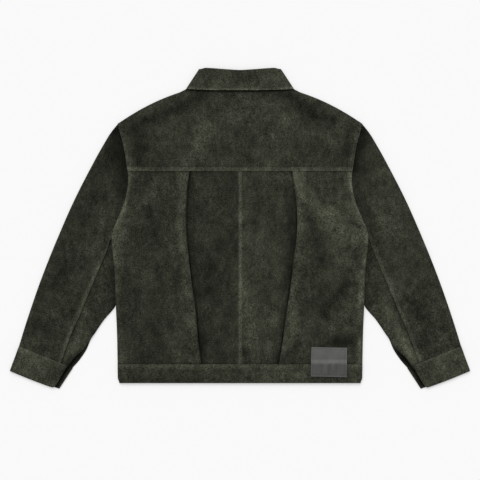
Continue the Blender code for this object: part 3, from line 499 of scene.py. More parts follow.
def spline(rows, place):
    """Read a smooth curve through (place, value) rows."""
    index = 0
    while index < len(rows) - 2 and place > rows[index + 1][0]:
        index += 1
    start, end = rows[index], rows[index + 1]
    before = rows[max(index - 1, 0)]
    after = rows[min(index + 2, len(rows) - 1)]
    width = end[0] - start[0]
    share = min(max((place - start[0]) / width, 0.0), 1.0)
    slope_in = (end[1] - before[1]) / (end[0] - before[0]) * width
    slope_out = (after[1] - start[1]) / (after[0] - start[0]) * width
    square, cube = share * share, share ** 3
    return (start[1] * (2 * cube - 3 * square + 1) + slope_in * (cube - 2 * square + share)
            + end[1] * (3 * square - 2 * cube) + slope_out * (cube - square))


def guide(points, share):
    """The point at a share of the way along a smooth curve through plan points."""
    reach = [0.0]
    for first, second in zip(points, points[1:]):
        reach.append(reach[-1] + math.dist(first, second))
    place = share * reach[-1]
    return Vector([spline([(far, point[axis]) for far, point in zip(reach, points)], place)
                   for axis in (0, 1)])


# ---- The jacket's outlines -------------------------------------------------------

def body_half(up):
    return spline(BODY_SIDE, up)


def pleat_half(x, up):
    return spline(PLEAT_EDGE_LEFT if x < 0 else PLEAT_EDGE_RIGHT, up)


def shoulder_up(half):
    """Top edge of the back: the shoulder line, and the neck between the shoulders."""
    if half < SHOULDER_NECK[0]:
        return SHOULDER_NECK[1] + NECK_RISE * (1 - (half / SHOULDER_NECK[0]) ** 2) ** NECK_SQUARENESS
    share = (half - SHOULDER_NECK[0]) / (SHOULDER_TIP[0] - SHOULDER_NECK[0])
    return mix(SHOULDER_NECK[1], SHOULDER_TIP[1], share) + SHOULDER_BULGE * 4 * share * (1 - share)


def front_top(half):
    """Top edge of a front: its neck below the collar's stand, then the shoulder."""
    return spline(FRONT_NECK, half) if half < FRONT_NECK[-1][0] else shoulder_up(half)


def above_armpit(up):
    return smooth(*ARMPIT_PASS, up)


def sleeve_start(up):
    """Where the sleeve's edge lies: under the body's lap, or beside it near the shoulder."""
    lap = LAP * above_armpit(up) * (1 - smooth(*SLEEVE_LAP_END, up))
    return body_half(up) - lap


def front_armhole(up):
    """The front's edge: straight down from the shoulder, then out to the side fold."""
    foot, foot_up = FRONT_ARMHOLE_FOOT
    straight = mix(foot, FRONT_SHOULDER_TIP, (up - foot_up) / (SHOULDER_TIP[1] - foot_up))
    return mix(body_half(up), straight, smooth(*FRONT_FLARE, up))


# ---- Levels ----------------------------------------------------------------------

def tuck(half, up):
    """1 where the sleeve's underarm lies under the body."""
    return smooth(*TUCK_SIDE, half) * smooth(*TUCK_FOOT, up) * (1 - smooth(*TUCK_HEAD, up))


def leaf(half, up):
    """1 where the collar's front leaf lies under the front."""
    place = Vector((half, up))
    end_in, end_out = Vector(COLLAR_FRONT[0]), Vector(COLLAR_FRONT[1])
    side_out = Vector(COLLAR_SIDE[1])
    past_edge = (place - end_out).dot((side_out - end_out).orthogonal().normalized()) * -1
    past_end = (place - end_in).dot((end_out - end_in).orthogonal().normalized()) * -1
    return 1 - smooth(*LEAF_FADE, max(past_edge, past_end))


def back_level(x, up):
    return BACK + TUCK_BACK * tuck(abs(x), up)


def front_level(half, up):
    return FLOOR + TUCK_FRONT * tuck(half, up) + LEAF_LIFT * leaf(half, up)


def armhole_rise(x, up):
    """The body's edge steps up on to the sleeve."""
    inner = body_half(up) - LAP
    return ARMHOLE_RISE * above_armpit(up) * smooth(inner - LAP_STEP, inner - GAP, abs(x))


def centre_rise(x):
    """The raised strip of the lapped centre back seam."""
    start, end = CENTRE_SEAM_EDGE, CENTRE_SEAM_EDGE + LAP
    return LAP_RISE * smooth(start - LAP_STEP, start - GAP, x) * (1 - smooth(end, end + LAP_STEP, x))


def pleat_rise(x, up):
    """Height of the pleat's layers, as what lies on them follows it."""
    half, edge = abs(x), pleat_half(x, up)
    back = edge + PLEAT_DEPTH + WALL
    climb = smooth(edge - PLEAT_BROW[0], edge - PLEAT_BROW[1], half)
    return PLEAT_RISE * climb * (1 - smooth(back, back + PLEAT_SLOPE, half))


def panels_level(x, up):
    """Middle of the uppermost layer of the back panels."""
    return back_level(x, up) + centre_rise(x) + pleat_rise(x, up) + armhole_rise(x, up)


def sleeve_level(x, up):
    """Middle of the sleeve's upper side."""
    beside = 1 - smooth(*FLAT_SLEEVE_SIDE, abs(x) - body_half(up))
    low = beside * smooth(*FLAT_SLEEVE_FOOT, up) * (1 - smooth(*FLAT_SLEEVE_HEAD, up))
    full = mix(SLEEVE_CUFF, SLEEVE_CAP, smooth(*SLEEVE_FILL, up))
    return mix(full, TUCK_SLEEVE, low)


# ---- Creases, tone and unevenness ------------------------------------------------

def rise(low, high, values):
    """Like smooth(), for arrays."""
    share = np.clip((values - low) / (high - low), 0.0, 1.0)
    return share * share * (3.0 - 2.0 * share)


def bell(values, centre, width):
    """1 at the centre, fading out over a width on both sides of it."""
    return np.exp(-((values - centre) / width) ** 2)


def glow(values, bands):
    """Soft bands added up, each (strength, centre, width)."""
    return sum(strength * bell(values, centre, width) for strength, centre, width in bands)


def ridge(x, up, start_x, start_up, end_x, end_up, width):
    """1 along a line between two plan points, fading out over a width."""
    run = np.array((end_x - start_x, end_up - start_up))
    share = np.clip(((x - start_x) * run[0] + (up - start_up) * run[1]) / (run @ run), 0.0, 1.0)
    away = np.hypot(x - start_x - share * run[0], up - start_up - share * run[1])
    return bell(away, 0.0, width)


def creased(x, up, rows, column):
    """All the lines of a table together, each as strong as one of its columns says."""
    return sum(row[column] * ridge(x, up, *row[:5]) for row in rows)


def waves(x, up, length, seed):
    """Smooth unevenness, mostly between -1 and 1, with waves of about one length."""
    draw = np.random.default_rng(seed)
    total = np.zeros(np.shape(x))
    for _ in range(WAVE_COUNT):
        angle, phase = draw.uniform(0, 2 * math.pi, 2)
        size = length * draw.uniform(0.7, 1.6)
        total += np.cos((x * math.cos(angle) + up * math.sin(angle)) * 2 * math.pi / size + phase)
    return total / math.sqrt(WAVE_COUNT)


def uneven(x, up, rows):
    """Waves added up, each (size, wave length, seed)."""
    return sum(size * waves(x, up, length, seed) for size, length, seed in rows)


def beside(x, up, line):
    """Distance from a plan line, and how far along it the nearest place is."""
    nearest, place, reach = np.full(np.shape(x), 9.0), np.zeros(np.shape(x)), 0.0
    for first, second in zip(line, line[1:]):
        run = np.array(second) - np.array(first)
        length = math.hypot(*run)
        share = np.clip(((x - first[0]) * run[0] + (up - first[1]) * run[1]) / length ** 2, 0.0, 1.0)
        away = np.hypot(x - first[0] - share * run[0], up - first[1] - share * run[1])
        closer = away < nearest
        nearest = np.where(closer, away, nearest)
        place = np.where(closer, reach + share * length, place)
        reach += length
    return nearest, place


SIDE_UPS = np.linspace(0.0, SHOULDER_TIP[1], 120)
SIDE_HALVES = np.array([body_half(up) for up in SIDE_UPS])
TOP_HALVES = np.linspace(0.0, SHOULDER_TIP[0], 120)
TOP_UPS = np.array([shoulder_up(half) for half in TOP_HALVES])

YOKE_LINE = [(x, YOKE_SEAM) for x in spread(-0.249, 0.249, 2)]
CENTRE_LINE = [(0.001, BAND_TOP), (0.001, YOKE_SEAM)]
HEM_LINE = [(-0.273, BAND_TOP), (0.273, BAND_TOP)]
ARMHOLE_LINE = [(body_half(up) - LAP / 2, up) for up in spread(ARMPIT, SHOULDER_TIP[1], 14)]
SLEEVE_LINE = [tuple(guide(SLEEVE_SEAM, share)) for share in spread(0.0, 1.0, 10)]
CUFF_LINE = [CUFF_OUTER[0], CUFF_INNER[0]]
CUFF_VENT = list(CUFF_INNER)
VENT_LINE = list(SLEEVE_INNER_LOW[-4:]) + [CUFF_INNER_LOW[1]]
INNER_LINE = [tuple(guide(SLEEVE_INNER, share)) for share in spread(0.0, 1.0, 14)]
PUCKERED = [YOKE_LINE, CENTRE_LINE, HEM_LINE]
for side in (-1, 1):
    PUCKERED += [[(side * x, up) for x, up in line] for line in (ARMHOLE_LINE, SLEEVE_LINE, CUFF_LINE)]


def puckers(x, up):
    """Small uneven ripples that run into the topstitched seams."""
    height = np.zeros(np.shape(x))
    for number, line in enumerate(PUCKERED):
        away, place = beside(x, up, line)
        beat = sum(np.cos(place * 2 * math.pi / length + number * 2.1 + length * 900)
                   for length in PUCKER_LENGTHS)
        height += PUCKER_HEIGHT * beat * bell(away, 0.0, PUCKER_WIDTH)
    return height


def emboss(x, up):
    """Height that folds, creases and puckers add to the upper side."""
    height = creased(x, up, FOLDS, HEIGHT) + uneven(x, up, UPPER_WAVES)
    half = np.abs(x)
    height *= rise(*SIDE_FADE, np.abs(half - np.interp(up, SIDE_UPS, SIDE_HALVES)))
    on_body = half < SHOULDER_TIP[0]
    height *= np.where(on_body, rise(*TOP_FADE, np.interp(half, TOP_HALVES, TOP_UPS) - up), 1.0)
    height *= np.where(half < HEM_FADE_REACH, rise(*HEM_FADE, up), 1.0)
    return height + puckers(x, up)


def fold_shade_and_nap(x, up):
    """Painted shade and highlight of the folds at a place, with the nap's random tone."""
    tone = 1 + creased(x, up, FOLDS, TONE)
    tone = np.where(tone < 1, np.exp(DARK_GAIN * (tone - 1)), tone)
    return tone + uneven(x, up, TONE_WAVES)


# ---- Making cloth ----------------------------------------------------------------

def shell(name, sections, thickness, cloth, lift=(0.0026, 0.0042), tone=None, extra=None, shade_folds=True,
          inside=None, face_down=False):
    """A closed thin shell through equal sections of (x, up, z) points.

    lift is the pair of levels between which the upper side's creases come in. tone
    takes x and up and gives the lightness of the nap with its painted shade and
    highlights, inside the painted shade of the wrong side. extra adds its own height.
    The flag after extra paints on the folds' shade and highlight and the nap's random
    tone. face_down turns the right side down.
    """
    middle = np.array(sections, dtype=float)
    x, up, z = middle[..., 0].copy(), middle[..., 1].copy(), middle[..., 2].copy()
    if lift:
        middle[..., 2] += rise(lift[0], lift[1], z) * emboss(x, up)
    if extra:
        middle[..., 2] += extra(x, up, z)
    middle[..., 1] -= MIDDLE
    normal = np.cross(np.gradient(middle, axis=1), np.gradient(middle, axis=0))
    normal /= np.maximum(np.linalg.norm(normal, axis=2, keepdims=True), 1e-12)
    outer = middle + normal * thickness / 2
    inner = middle - normal * thickness / 2
    rows, columns = middle.shape[:2]
    number = np.arange(rows * columns).reshape(rows, columns)
    quads = np.stack([number[:-1, :-1], number[:-1, 1:], number[1:, 1:], number[1:, :-1]], axis=-1)
    quads = quads.reshape(-1, 4)
    count = rows * columns
    ring = np.concatenate([number[0, :], number[1:, -1], number[-1, -2::-1], number[-2:0:-1, 0]])
    after = np.roll(ring, -1)
    rim = np.stack([after, ring, ring + count, after + count], axis=-1)
    faces = np.concatenate([quads, quads[:, ::-1] + count, rim])
    mesh = bpy.data.meshes.new(name)
    points = np.concatenate([outer.reshape(-1, 3), inner.reshape(-1, 3)])
    points[:, 2] = np.maximum(points[:, 2], 0.0)
    mesh.from_pydata(points.tolist(), [], faces.tolist())
    mesh.shade_smooth()
    mesh.set_sharp_from_angle(angle=math.radians(50))
    # The folds' painted shade and highlight, with the nap's random tone.
    values = fold_shade_and_nap(x, up) if shade_folds else np.ones(x.shape)
    if tone is not None:
        values *= tone(x, up)
    # Painted shade on the wrong side, seen inside the sleeves and through the vents.
    dark = INSIDE_SHADE if inside is None else inside(x, up)
    sides = [values.ravel(), (values * dark).ravel()]
    highest = np.argmax(middle[..., 2])
    if (normal[..., 2].ravel()[highest] < 0) != face_down:
        sides.reverse()
    # The tone attribute holds the nap's tone together with the painted shade and highlights.
    layer = mesh.attributes.new("tone", "FLOAT", "POINT")
    layer.data.foreach_set("value", np.concatenate(sides).astype(np.float32))
    mesh.materials.append(cloth)
    piece = bpy.data.objects.new(name, mesh)
    bpy.context.scene.collection.objects.link(piece)
    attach(piece, "root")
    across = np.linalg.norm(np.diff(middle, axis=1), axis=2).sum(axis=1).max()
    along = np.linalg.norm(np.diff(middle, axis=0), axis=2).sum(axis=0).max()
    first = np.cross(middle[1:, 1:] - middle[:-1, :-1], middle[1:, :-1] - middle[:-1, 1:])
    area = np.linalg.norm(first, axis=2).sum() / 2
    MADE[name] = (piece, (float(across), float(along)), float(area))


MADE = {}
INSIDE_SHADE = 0.18       # painted shade: how dark the inside of the sleeves and folds is


def shaded_vent_layer(x, up):
    """Painted shade of the layer seen through the vent, lighter towards its own edge."""
    away = beside(np.abs(x), up, VENT_LINE)[0]
    return VENT_LAYER_SHADE + glow(away, VENT_GLOW)


def mirrored(sections, side):
    return [[(side * x, up, z) for x, up, z in section] for section in sections]


def chain(stops, counts):
    """Places through all the stops, with so many steps between each two."""
    places = [stops[0]]
    for first, last, count in zip(stops, stops[1:], counts):
        places += spread(first, last, count)[1:]
    return places


def dense(stops, step):
    """Places through all the stops, no further apart than a step."""
    counts = [max(1, math.ceil(abs(last - first) / step)) for first, last in zip(stops, stops[1:])]
    return chain(stops, counts)


# ---- Body ------------------------------------------------------------------------

ROLL = tuple(spread(0.0, 1.0, 6)[1:])
FOLD_OVER = spread(-math.pi / 2, math.pi / 2, 8)[1:]


def rolled(edge, radius, step, amount):
    """Reach and drop of a wall's edge that rolls over by a quarter turn."""
    angle = step * math.pi / 2
    reach = edge - WALL / 2 - radius + radius * mix(step, math.sin(angle), amount)
    return reach, radius * (1 - math.cos(angle)) * amount


def back_panel(name, side, cloth):
    """Half of the back with its knife pleat; the right half laps the left one."""
    start = -(CENTRE_SEAM_EDGE + LAP - GAP) if side < 0 else CENTRE_SEAM_EDGE
    lap_end = CENTRE_SEAM_EDGE + LAP
    sections = []
    for share in spread(0.0, 1.0, PANEL_ROWS):
        row_up = mix(BAND_TOP - LAP, YOKE_SEAM + LAP, share)
        edge, pleat = body_half(row_up), pleat_half(side, row_up)
        section = []

        def add(half, layer):
            low = mix(BAND_TOP - LAP, BAND_TOP + GAP, smooth(*BACK_CORNER, half - edge))
            up = mix(low, YOKE_SEAM + LAP, share)
            section.append((side * half, up, back_level(side * half, up) + layer))

        below = pleat + PLEAT_DEPTH
        for half in chain((start, lap_end, lap_end + LAP_STEP, below), (4, 3, 38)):
            add(half, centre_rise(half) if side > 0 else 0.0)
        for angle in FOLD_OVER:
            add(below + TURN * math.cos(angle), TURN * (1 + math.sin(angle)))
        for half in spread(below, pleat, 6)[1:]:
            add(half, 2 * TURN)
        for angle in FOLD_OVER:
            add(pleat - TURN * math.cos(angle), TURN * (3 + math.sin(angle)))
        lap_start = edge - LAP
        pleat_end = below + WALL
        side_up = mix(BAND_TOP + GAP, YOKE_SEAM + LAP, share)
        radius = (back_level(side * edge, side_up) - front_level(edge, side_up) - GAP) / 2
        amount = 1 - above_armpit(row_up)
        reach = rolled(edge, radius, 0.0, amount)[0]
        stops = (pleat, pleat_end, lap_start - LAP_STEP, lap_start - GAP, reach)
        for half in chain(stops, (7, 38, 3, 3))[1:]:
            fall = 1 - smooth(pleat_end, pleat_end + PLEAT_SLOPE, half)
            add(half, PLEAT_RISE * fall + armhole_rise(half, row_up))
        for step in ROLL:
            reach, drop = rolled(edge, radius, step, amount)
            add(reach, armhole_rise(edge, row_up) - drop)
        sections.append(section)
    shell(name, sections, WALL, cloth, tone=back_tone)


def back_tone(x, up):
    """The nap of the four fields of the back lies each its own way. Painted shadow lies
    inward of each pleat's fold edge and just above the hem band; painted highlight lies on
    each pleat's roll, the centre seam's raised strip and the side rims.
    """
    edge = np.interp(up, PLEAT_UPS, PLEAT_HALVES[-1 if x.mean() < 0 else 1])
    inward = edge - TURN - WALL / 2 - np.abs(x)
    inside = rise(*PLEAT_EDGE_FADE, inward)
    centre = np.where(x < CENTRE_SEAM_EDGE, *CENTRE_FIELDS)
    field = mix(np.where(x < 0, *SIDE_FIELDS), centre, inside)
    crease = 1 - inside * glow(np.maximum(inward, 0.0), PLEAT_SHADOW)
    roll = 1 + (1 - inside) * glow(inward, PLEAT_HIGHLIGHT)
    strip = 1 + glow(x - CENTRE_SEAM_EDGE, CENTRE_STRIP_HIGHLIGHT)
    edge = np.interp(up, SIDE_UPS, SIDE_HALVES) - np.abs(x)
    at_side, at_armhole = SIDE_RIM_HIGHLIGHT
    rim = 1 + (at_side + at_armhole * rise(*ARMHOLE_FADE, up)) * bell(edge, *SIDE_RIM_PLACE)
    rim += glow(edge, SIDE_GLOW)
    hem = 1 - glow(up - BAND_TOP, HEM_SHADE)
    return field * crease * roll * strip * rim * hem


PLEAT_UPS = np.linspace(0.0, 0.49, 100)
PLEAT_HALVES = {side: np.array([pleat_half(side, up) for up in PLEAT_UPS]) for side in (-1, 1)}


def across_back(up, edge):
    """Columns from side to side that meet each ridge of the back."""
    start, end = CENTRE_SEAM_EDGE, CENTRE_SEAM_EDGE + LAP
    halves = []
    for side in (-1, 1):
        pleat = pleat_half(side, up)
        stops = (0.022, pleat - PLEAT_BROW[0], pleat - PLEAT_BROW[1], pleat + PLEAT_DEPTH + WALL,
                 edge - LAP - LAP_STEP, edge - LAP, edge)
        halves.append(chain(stops, (26, 3, 7, 38, 3, 4)))
    strips = chain((-0.022, start - LAP_STEP, start, end, end + LAP_STEP, 0.022), (5, 3, 4, 3, 5))
    return [-x for x in reversed(halves[0])] + strips[1:-1] + halves[1]


def back_yoke(cloth):
    """The yoke laps the panels below it and rolls over the shoulders."""
    lap_end = YOKE_SEAM + LAP
    first_up = lap_end + LAP_STEP
    edge = body_half(YOKE_SEAM)
    across = [x / edge for x in across_back(YOKE_SEAM, edge)]
    levels = [(up, 0.0, 0.0) for up in chain((YOKE_SEAM, lap_end, first_up), (4, 3))]
    levels += [(first_up, share, 0.0) for share in spread(0.0, 1.0, YOKE_ROWS)[1:]]
    levels += [(first_up, 1.0, step) for step in ROLL]
    sections = []
    for low_up, share, step in levels:
        section = []
        edge = SHOULDER_TIP[0]
        for _ in range(6):
            edge = body_half(mix(low_up, shoulder_up(edge), share))
        for part_way in across:
            x = part_way * (edge - WALL / 2)
            half = abs(x)
            top = shoulder_up(half)
            top += NECK_CORNER * smooth(*NECK_CORNER_IN, half) * (1 - smooth(*NECK_CORNER_OUT, half))
            radius = (back_level(x, top) - front_level(half, top) - GAP) / 2
            over = smooth(*SHOULDER_ROLL, half)
            reach, drop = rolled(top, radius, step, over)
            up = mix(low_up, reach, share)
            lapped = 1 - smooth(lap_end, first_up, up)
            near = 1 - smooth(*BELOW_YOKE, up - lap_end)
            z = back_level(x, up) + armhole_rise(x, up) + lapped * (LAP_RISE + GAP) - drop
            section.append((x, up, z + near * (centre_rise(x) + pleat_rise(x, YOKE_SEAM))))
        sections.append(section)

    def tone(x, up):
        # Painted highlight on the lapped strip and the side rim; painted shadow beside the lap and below
        # the collar.
        over = up - YOKE_SEAM
        seam = 1 + YOKE_LAP_HIGHLIGHT * (1 - rise(*YOKE_LAP_FADE, over)) + glow(over, YOKE_LAP_LIGHT_AND_SHADOW)
        edge = np.interp(up, SIDE_UPS, SIDE_HALVES) - np.abs(x)
        rim = 1 + glow(edge, YOKE_RIM_HIGHLIGHT)
        line = COLLAR_LOW - YOKE_LINE_DROP + YOKE_LINE_CURVE * (np.abs(x) / COLLAR_HALF) ** 4
        shade = glow(np.maximum(line - up, 0.0), YOKE_SHADOW_BELOW_COLLAR)
        shade = 1 - shade * rise(*COLLAR_REACH, np.abs(x))
        return YOKE_TONE * seam * rim * shade

    shell("yoke", sections, WALL, cloth, tone=tone)


def shoulder_rim(side, half, step):
    """Reach and climb of a front's top edge, which rolls up along the shoulder."""
    top = front_top(half)
    radius = (back_level(side * half, top) - front_level(half, top)) * (1 - SEAM_SHARE) / 2
    return rolled(top, radius, step, smooth(*FRONT_SHOULDER_ROLL, half))


def front_folds(x, up, z):
    """Soft folds of the fronts, which rise from the surface they lie on."""
    height = creased(x, up, FRONT_FOLDS, HEIGHT) + FRONT_WAVE[0] + uneven(x, up, [FRONT_WAVE])
    half = np.abs(x)
    edge = rise(*FRONT_SIDE_FADE, np.interp(up, SIDE_UPS, SIDE_HALVES) - half)
    edge *= rise(*FRONT_CENTRE_FADE, half) * (1 - rise(*FRONT_LEVEL_FADE, z))
    return height * edge * rise(*FRONT_FOOT_FADE, up) * (1 - rise(*FRONT_HEAD_FADE, up))


def front_panel(name, side, cloth):
    """A plain front; its side and shoulder roll up to just below the back's edges."""
    low = BAND_TOP + GAP
    rows = [(up, 0.0) for up in dense(FRONT_ROWS, 0.005)] + [(FRONT_ROWS[-1], step) for step in ROLL]
    columns = [(part_way, 0.0) for part_way in dense(FRONT_COLUMNS, 0.02)]
    columns += [(1.0, step) for step in ROLL]
    sections = []
    for row_up, rise_step in rows:
        edge = front_armhole(row_up) - GAP * above_armpit(row_up)
        share = min((row_up - low) / (shoulder_rim(side, edge, 0.0)[0] - low), 1.0)
        height = back_level(side * edge, row_up) - front_level(edge, row_up)
        section = []
        for part_way, side_step in columns:
            reach, lift = rolled(edge, height * (1 - SEAM_SHARE) / 2, side_step,
                                 1 - smooth(*FRONT_ROLL_END, row_up))
            half = mix(GAP, reach, part_way)
            rim, climb = shoulder_rim(side, half, rise_step)
            up = mix(low, rim, share)
            section.append((side * half, up, front_level(half, up) + lift + climb))
        sections.append(section)
    shell(name, sections, WALL, cloth, lift=None, extra=front_folds, face_down=True)


def hem_band(cloth):
    """One band round the hem, lapping the back and meeting at the centre front."""
    half_thick = BAND_WALL / 2
    over = WALL / 2 + GAP + half_thick
    sections = []
    for up in dense(BAND_ROWS, 0.003):
        lapped = smooth(*BAND_LAP_SLOPE, up)
        edge = body_half(up) - half_thick - BAND_CORNER * (1 - smooth(0.0, BAND_ROWS[1], up))

        def top(x):
            return mix(BAND_UP, panels_level(x, up) + over, lapped)

        radius = (top(edge) - half_thick) / 2
        flat = edge - radius
        front = [(half, half_thick) for half in spread(GAP, flat, 50)]
        fold = [(flat + radius * math.cos(angle), half_thick + radius * (1 + math.sin(angle)))
                for angle in spread(-math.pi / 2, math.pi / 2, 10)[1:-1]]
        right = [(x, up, z) for x, z in front + fold]
        section = [(-x, y, z) for x, y, z in right] + [(x, up, top(x)) for x in across_back(up, flat)]
        sections.append(section + right[::-1])

    def tone(x, up):
        # Painted highlight along the band's upper edge.
        return BAND_TONE * (1 + glow(up - BAND_TOP, BAND_GLOW))

    shell("hem_band_cloth", sections, BAND_WALL, cloth, tone=tone)


# ---- Sleeves ---------------------------------------------------------------------

def sleeve_point(first, second, part_way, along, start=sleeve_start):
    """A plan point between two sleeve guides, bent near the body to follow its edge."""
    place = mix(guide(first, along), guide(second, along), part_way)
    begin = mix(guide(first, 0.0), guide(second, 0.0), part_way)
    pull = (start(begin.y) + GAP - begin.x) * smooth(*SLEEVE_FOLLOW, begin.y)
    return place + Vector((pull * (1 - along) ** 3, 0.0))


def sleeve_end(place, outer, along):
    """Move a point of the upper side on under the cuff, except at the outer fold."""
    under = smooth(*UNDER_CUFF, (place - outer).length)
    way = (Vector(CUFF_OUTER[1]) - Vector(CUFF_OUTER[0])).normalized()
    return place + way * mix(-GAP / 6, LAP, under) * smooth(*SLEEVE_LAST, along)


def square_to(points, along):
    """The plan direction square to a sleeve guide, away from the body."""
    way = guide(points, min(along + 0.02, 1.0)) - guide(points, max(along - 0.02, 0.0))
    return way.orthogonal().normalized()


def roll_way(outer, inner, along):
    """The way a sleeve's inner edge rolls, along the cuff's seam at the sleeve's end."""
    last = smooth(*SLEEVE_LAST, along)
    return mix(square_to(SLEEVE_INNER, along), (outer - inner).normalized(), last).normalized()


def outer_fold(outer, across, top, bottom, thickness, count):
    """Points round the outer fold from the under side to the upper side."""
    radius = (top - bottom) / 2
    centre = outer - across * (radius + thickness / 2)
    points = []
    for angle in spread(-math.pi / 2, math.pi / 2, count):
        place = centre + across * radius * math.cos(angle)
        points.append((place.x, place.y, bottom + radius * (1 + math.sin(angle))))
    return points


def inner_roll(edge, inward, radius, step, amount):
    """Plan place and climb of the quarter roll at the sleeve's inner edge."""
    reach, climb = rolled(0.0, radius, step, amount)
    return edge - inward * reach, climb


def under_folds(x, up, z):
    """Soft folds of the sleeves' under side, which rise from the surface."""
    height = UNDER_WAVE[0] + uneven(np.abs(x), up, [UNDER_WAVE]) + uneven(x, up, [UNDER_RIPPLE])
    return height * (1 - rise(*UNDER_LEVEL_FADE, z)) * rise(*UNDER_FOOT_FADE, up)


SLEEVE_ROWS = spread(0.0, 1.0, SLEEVE_STEPS)


def sleeve_upper(name, side, cloth):
    """From the inner fold under the arm, round the outer fold, to the lapped seam."""
    sections = []
    for along in SLEEVE_ROWS:
        outer = sleeve_point(SLEEVE_OUTER, SLEEVE_SEAM, 0.0, along)
        inner = sleeve_point(SLEEVE_OUTER, SLEEVE_INNER_LOW, 1.0, along)
        across = square_to(SLEEVE_OUTER, along)
        inward = roll_way(outer, inner, along)
        level = sleeve_level(inner.x, inner.y)
        radius = (level - FLOOR - INNER_SEAM) / 2
        shut = 1 - smooth(*VENT_START, along)
        section = []
        for step in ROLL[::-1]:
            place, climb = inner_roll(inner, inward, radius, step, shut)
            section.append((place.x, place.y, FLOOR + climb))
        reach = inner_roll(inner, inward, radius, 0.0, shut)[0]
        top = sleeve_level(outer.x, outer.y)
        fold = outer_fold(outer, across, top, FLOOR, WALL, 11)
        ways = chain(UNDER_SIDE_COLUMNS + (0.10,), (2, 2, 8, 7))
        under = [sleeve_point(SLEEVE_OUTER, SLEEVE_INNER_LOW, way, along, front_armhole) for way in ways]
        for place in spread(reach, under[0], 3)[:-1] + under:
            section.append((place.x, place.y, FLOOR))
        shift = sleeve_end(outer, outer, along) - outer
        section = [(x + shift.x, up + shift.y, z) for x, up, z in section + fold[:-1]]
        seam = sleeve_point(SLEEVE_OUTER, SLEEVE_SEAM, 1.0, along)
        width = (seam - outer).length
        first = (Vector(fold[-1][:2]) - outer).length / width
        lap_start = 1 - (LAP + LAP_STEP) / width
        for part_way in chain((first, lap_start, 1 - LAP / width, 1.0), (34, 3, 4)):
            place = sleeve_point(SLEEVE_OUTER, SLEEVE_SEAM, part_way, along)
            lap_rise = (LAP_RISE + 2 * GAP) * smooth(lap_start, 1 - LAP / width, part_way)
            level = sleeve_level(place.x, place.y)
            place = sleeve_end(place, outer, along)
            section.append((place.x, place.y, level + lap_rise))
        sections.append(section)

    def tone(x, up):
        # Painted highlight beside the lapped seam; painted shade beside the armhole and at the cap.
        seam = beside(np.abs(x), up, SLEEVE_LINE)[0]
        armhole = beside(np.abs(x), up, ARMHOLE_LINE)[0]
        cap = rise(*CAP_FADE, up)
        shade = 1 + glow(seam, SLEEVE_SEAM_GLOW) * (1 - cap)
        shade *= 1 - glow(armhole, SLEEVE_ARMHOLE_SHADE)
        shade *= 1 - CAP_SHADE * cap * bell(armhole, 0.0, CAP_REACH[side])
        return SLEEVE_TONES[side] * shade

    shell(name, mirrored(sections, side), WALL, cloth, lift=(0.0014, 0.0026), tone=tone,
          extra=under_folds, inside=shaded_vent_layer)


def sleeve_under(name, side, cloth):
    """From below the lapped seam to the inner fold, open along the vent."""
    sections = []
    for along in SLEEVE_ROWS:
        outer = sleeve_point(SLEEVE_OUTER, SLEEVE_SEAM, 0.0, along)
        inner = sleeve_point(SLEEVE_OUTER, SLEEVE_INNER, 1.0, along)
        seam = sleeve_point(SLEEVE_OUTER, SLEEVE_SEAM, 1.0, along)
        inward = square_to(SLEEVE_INNER, along)
        level = sleeve_level(inner.x, inner.y)
        radius = (level - FLOOR - INNER_SEAM) / 2
        shut = 1 - smooth(*VENT_START, along)
        part_way = 1 - (LAP - GAP) / (seam - outer).length
        hidden = sleeve_point(SLEEVE_OUTER, SLEEVE_SEAM, part_way, along)
        reach = inner_roll(inner, inward, radius, 0.0, shut)[0]
        section = []
        for place in spread(hidden, seam, 2)[:-1] + spread(seam, reach, 22):
            z = sleeve_level(place.x, place.y)
            place = sleeve_end(place, outer, along)
            section.append((place.x, place.y, z))
        for step in ROLL:
            place, drop = inner_roll(inner, inward, radius, step, shut)
            place = sleeve_end(place, outer, along)
            section.append((place.x, place.y, level - drop))
        sections.append(section)

    def tone(x, up):
        # Painted shadow beside the body, below the lapped seam and at the inner fold.
        body = np.abs(x) - np.interp(up, SIDE_UPS, SIDE_HALVES)
        seam = beside(np.abs(x), up, SLEEVE_LINE)[0]
        fold = beside(np.abs(x), up, INNER_LINE)[0]
        shade = 1 - glow(body, UNDER_BODY_SHADOW)
        for away, (strength, width) in ((seam, SEAM_SHADOW), (fold, FOLD_SHADE)):
            shade *= 1 - strength * np.exp(-away / width)
        return UNDER_TONES[side] * shade

    shell(name, mirrored(sections, side), WALL, cloth, lift=(0.0014, 0.0026), tone=tone)


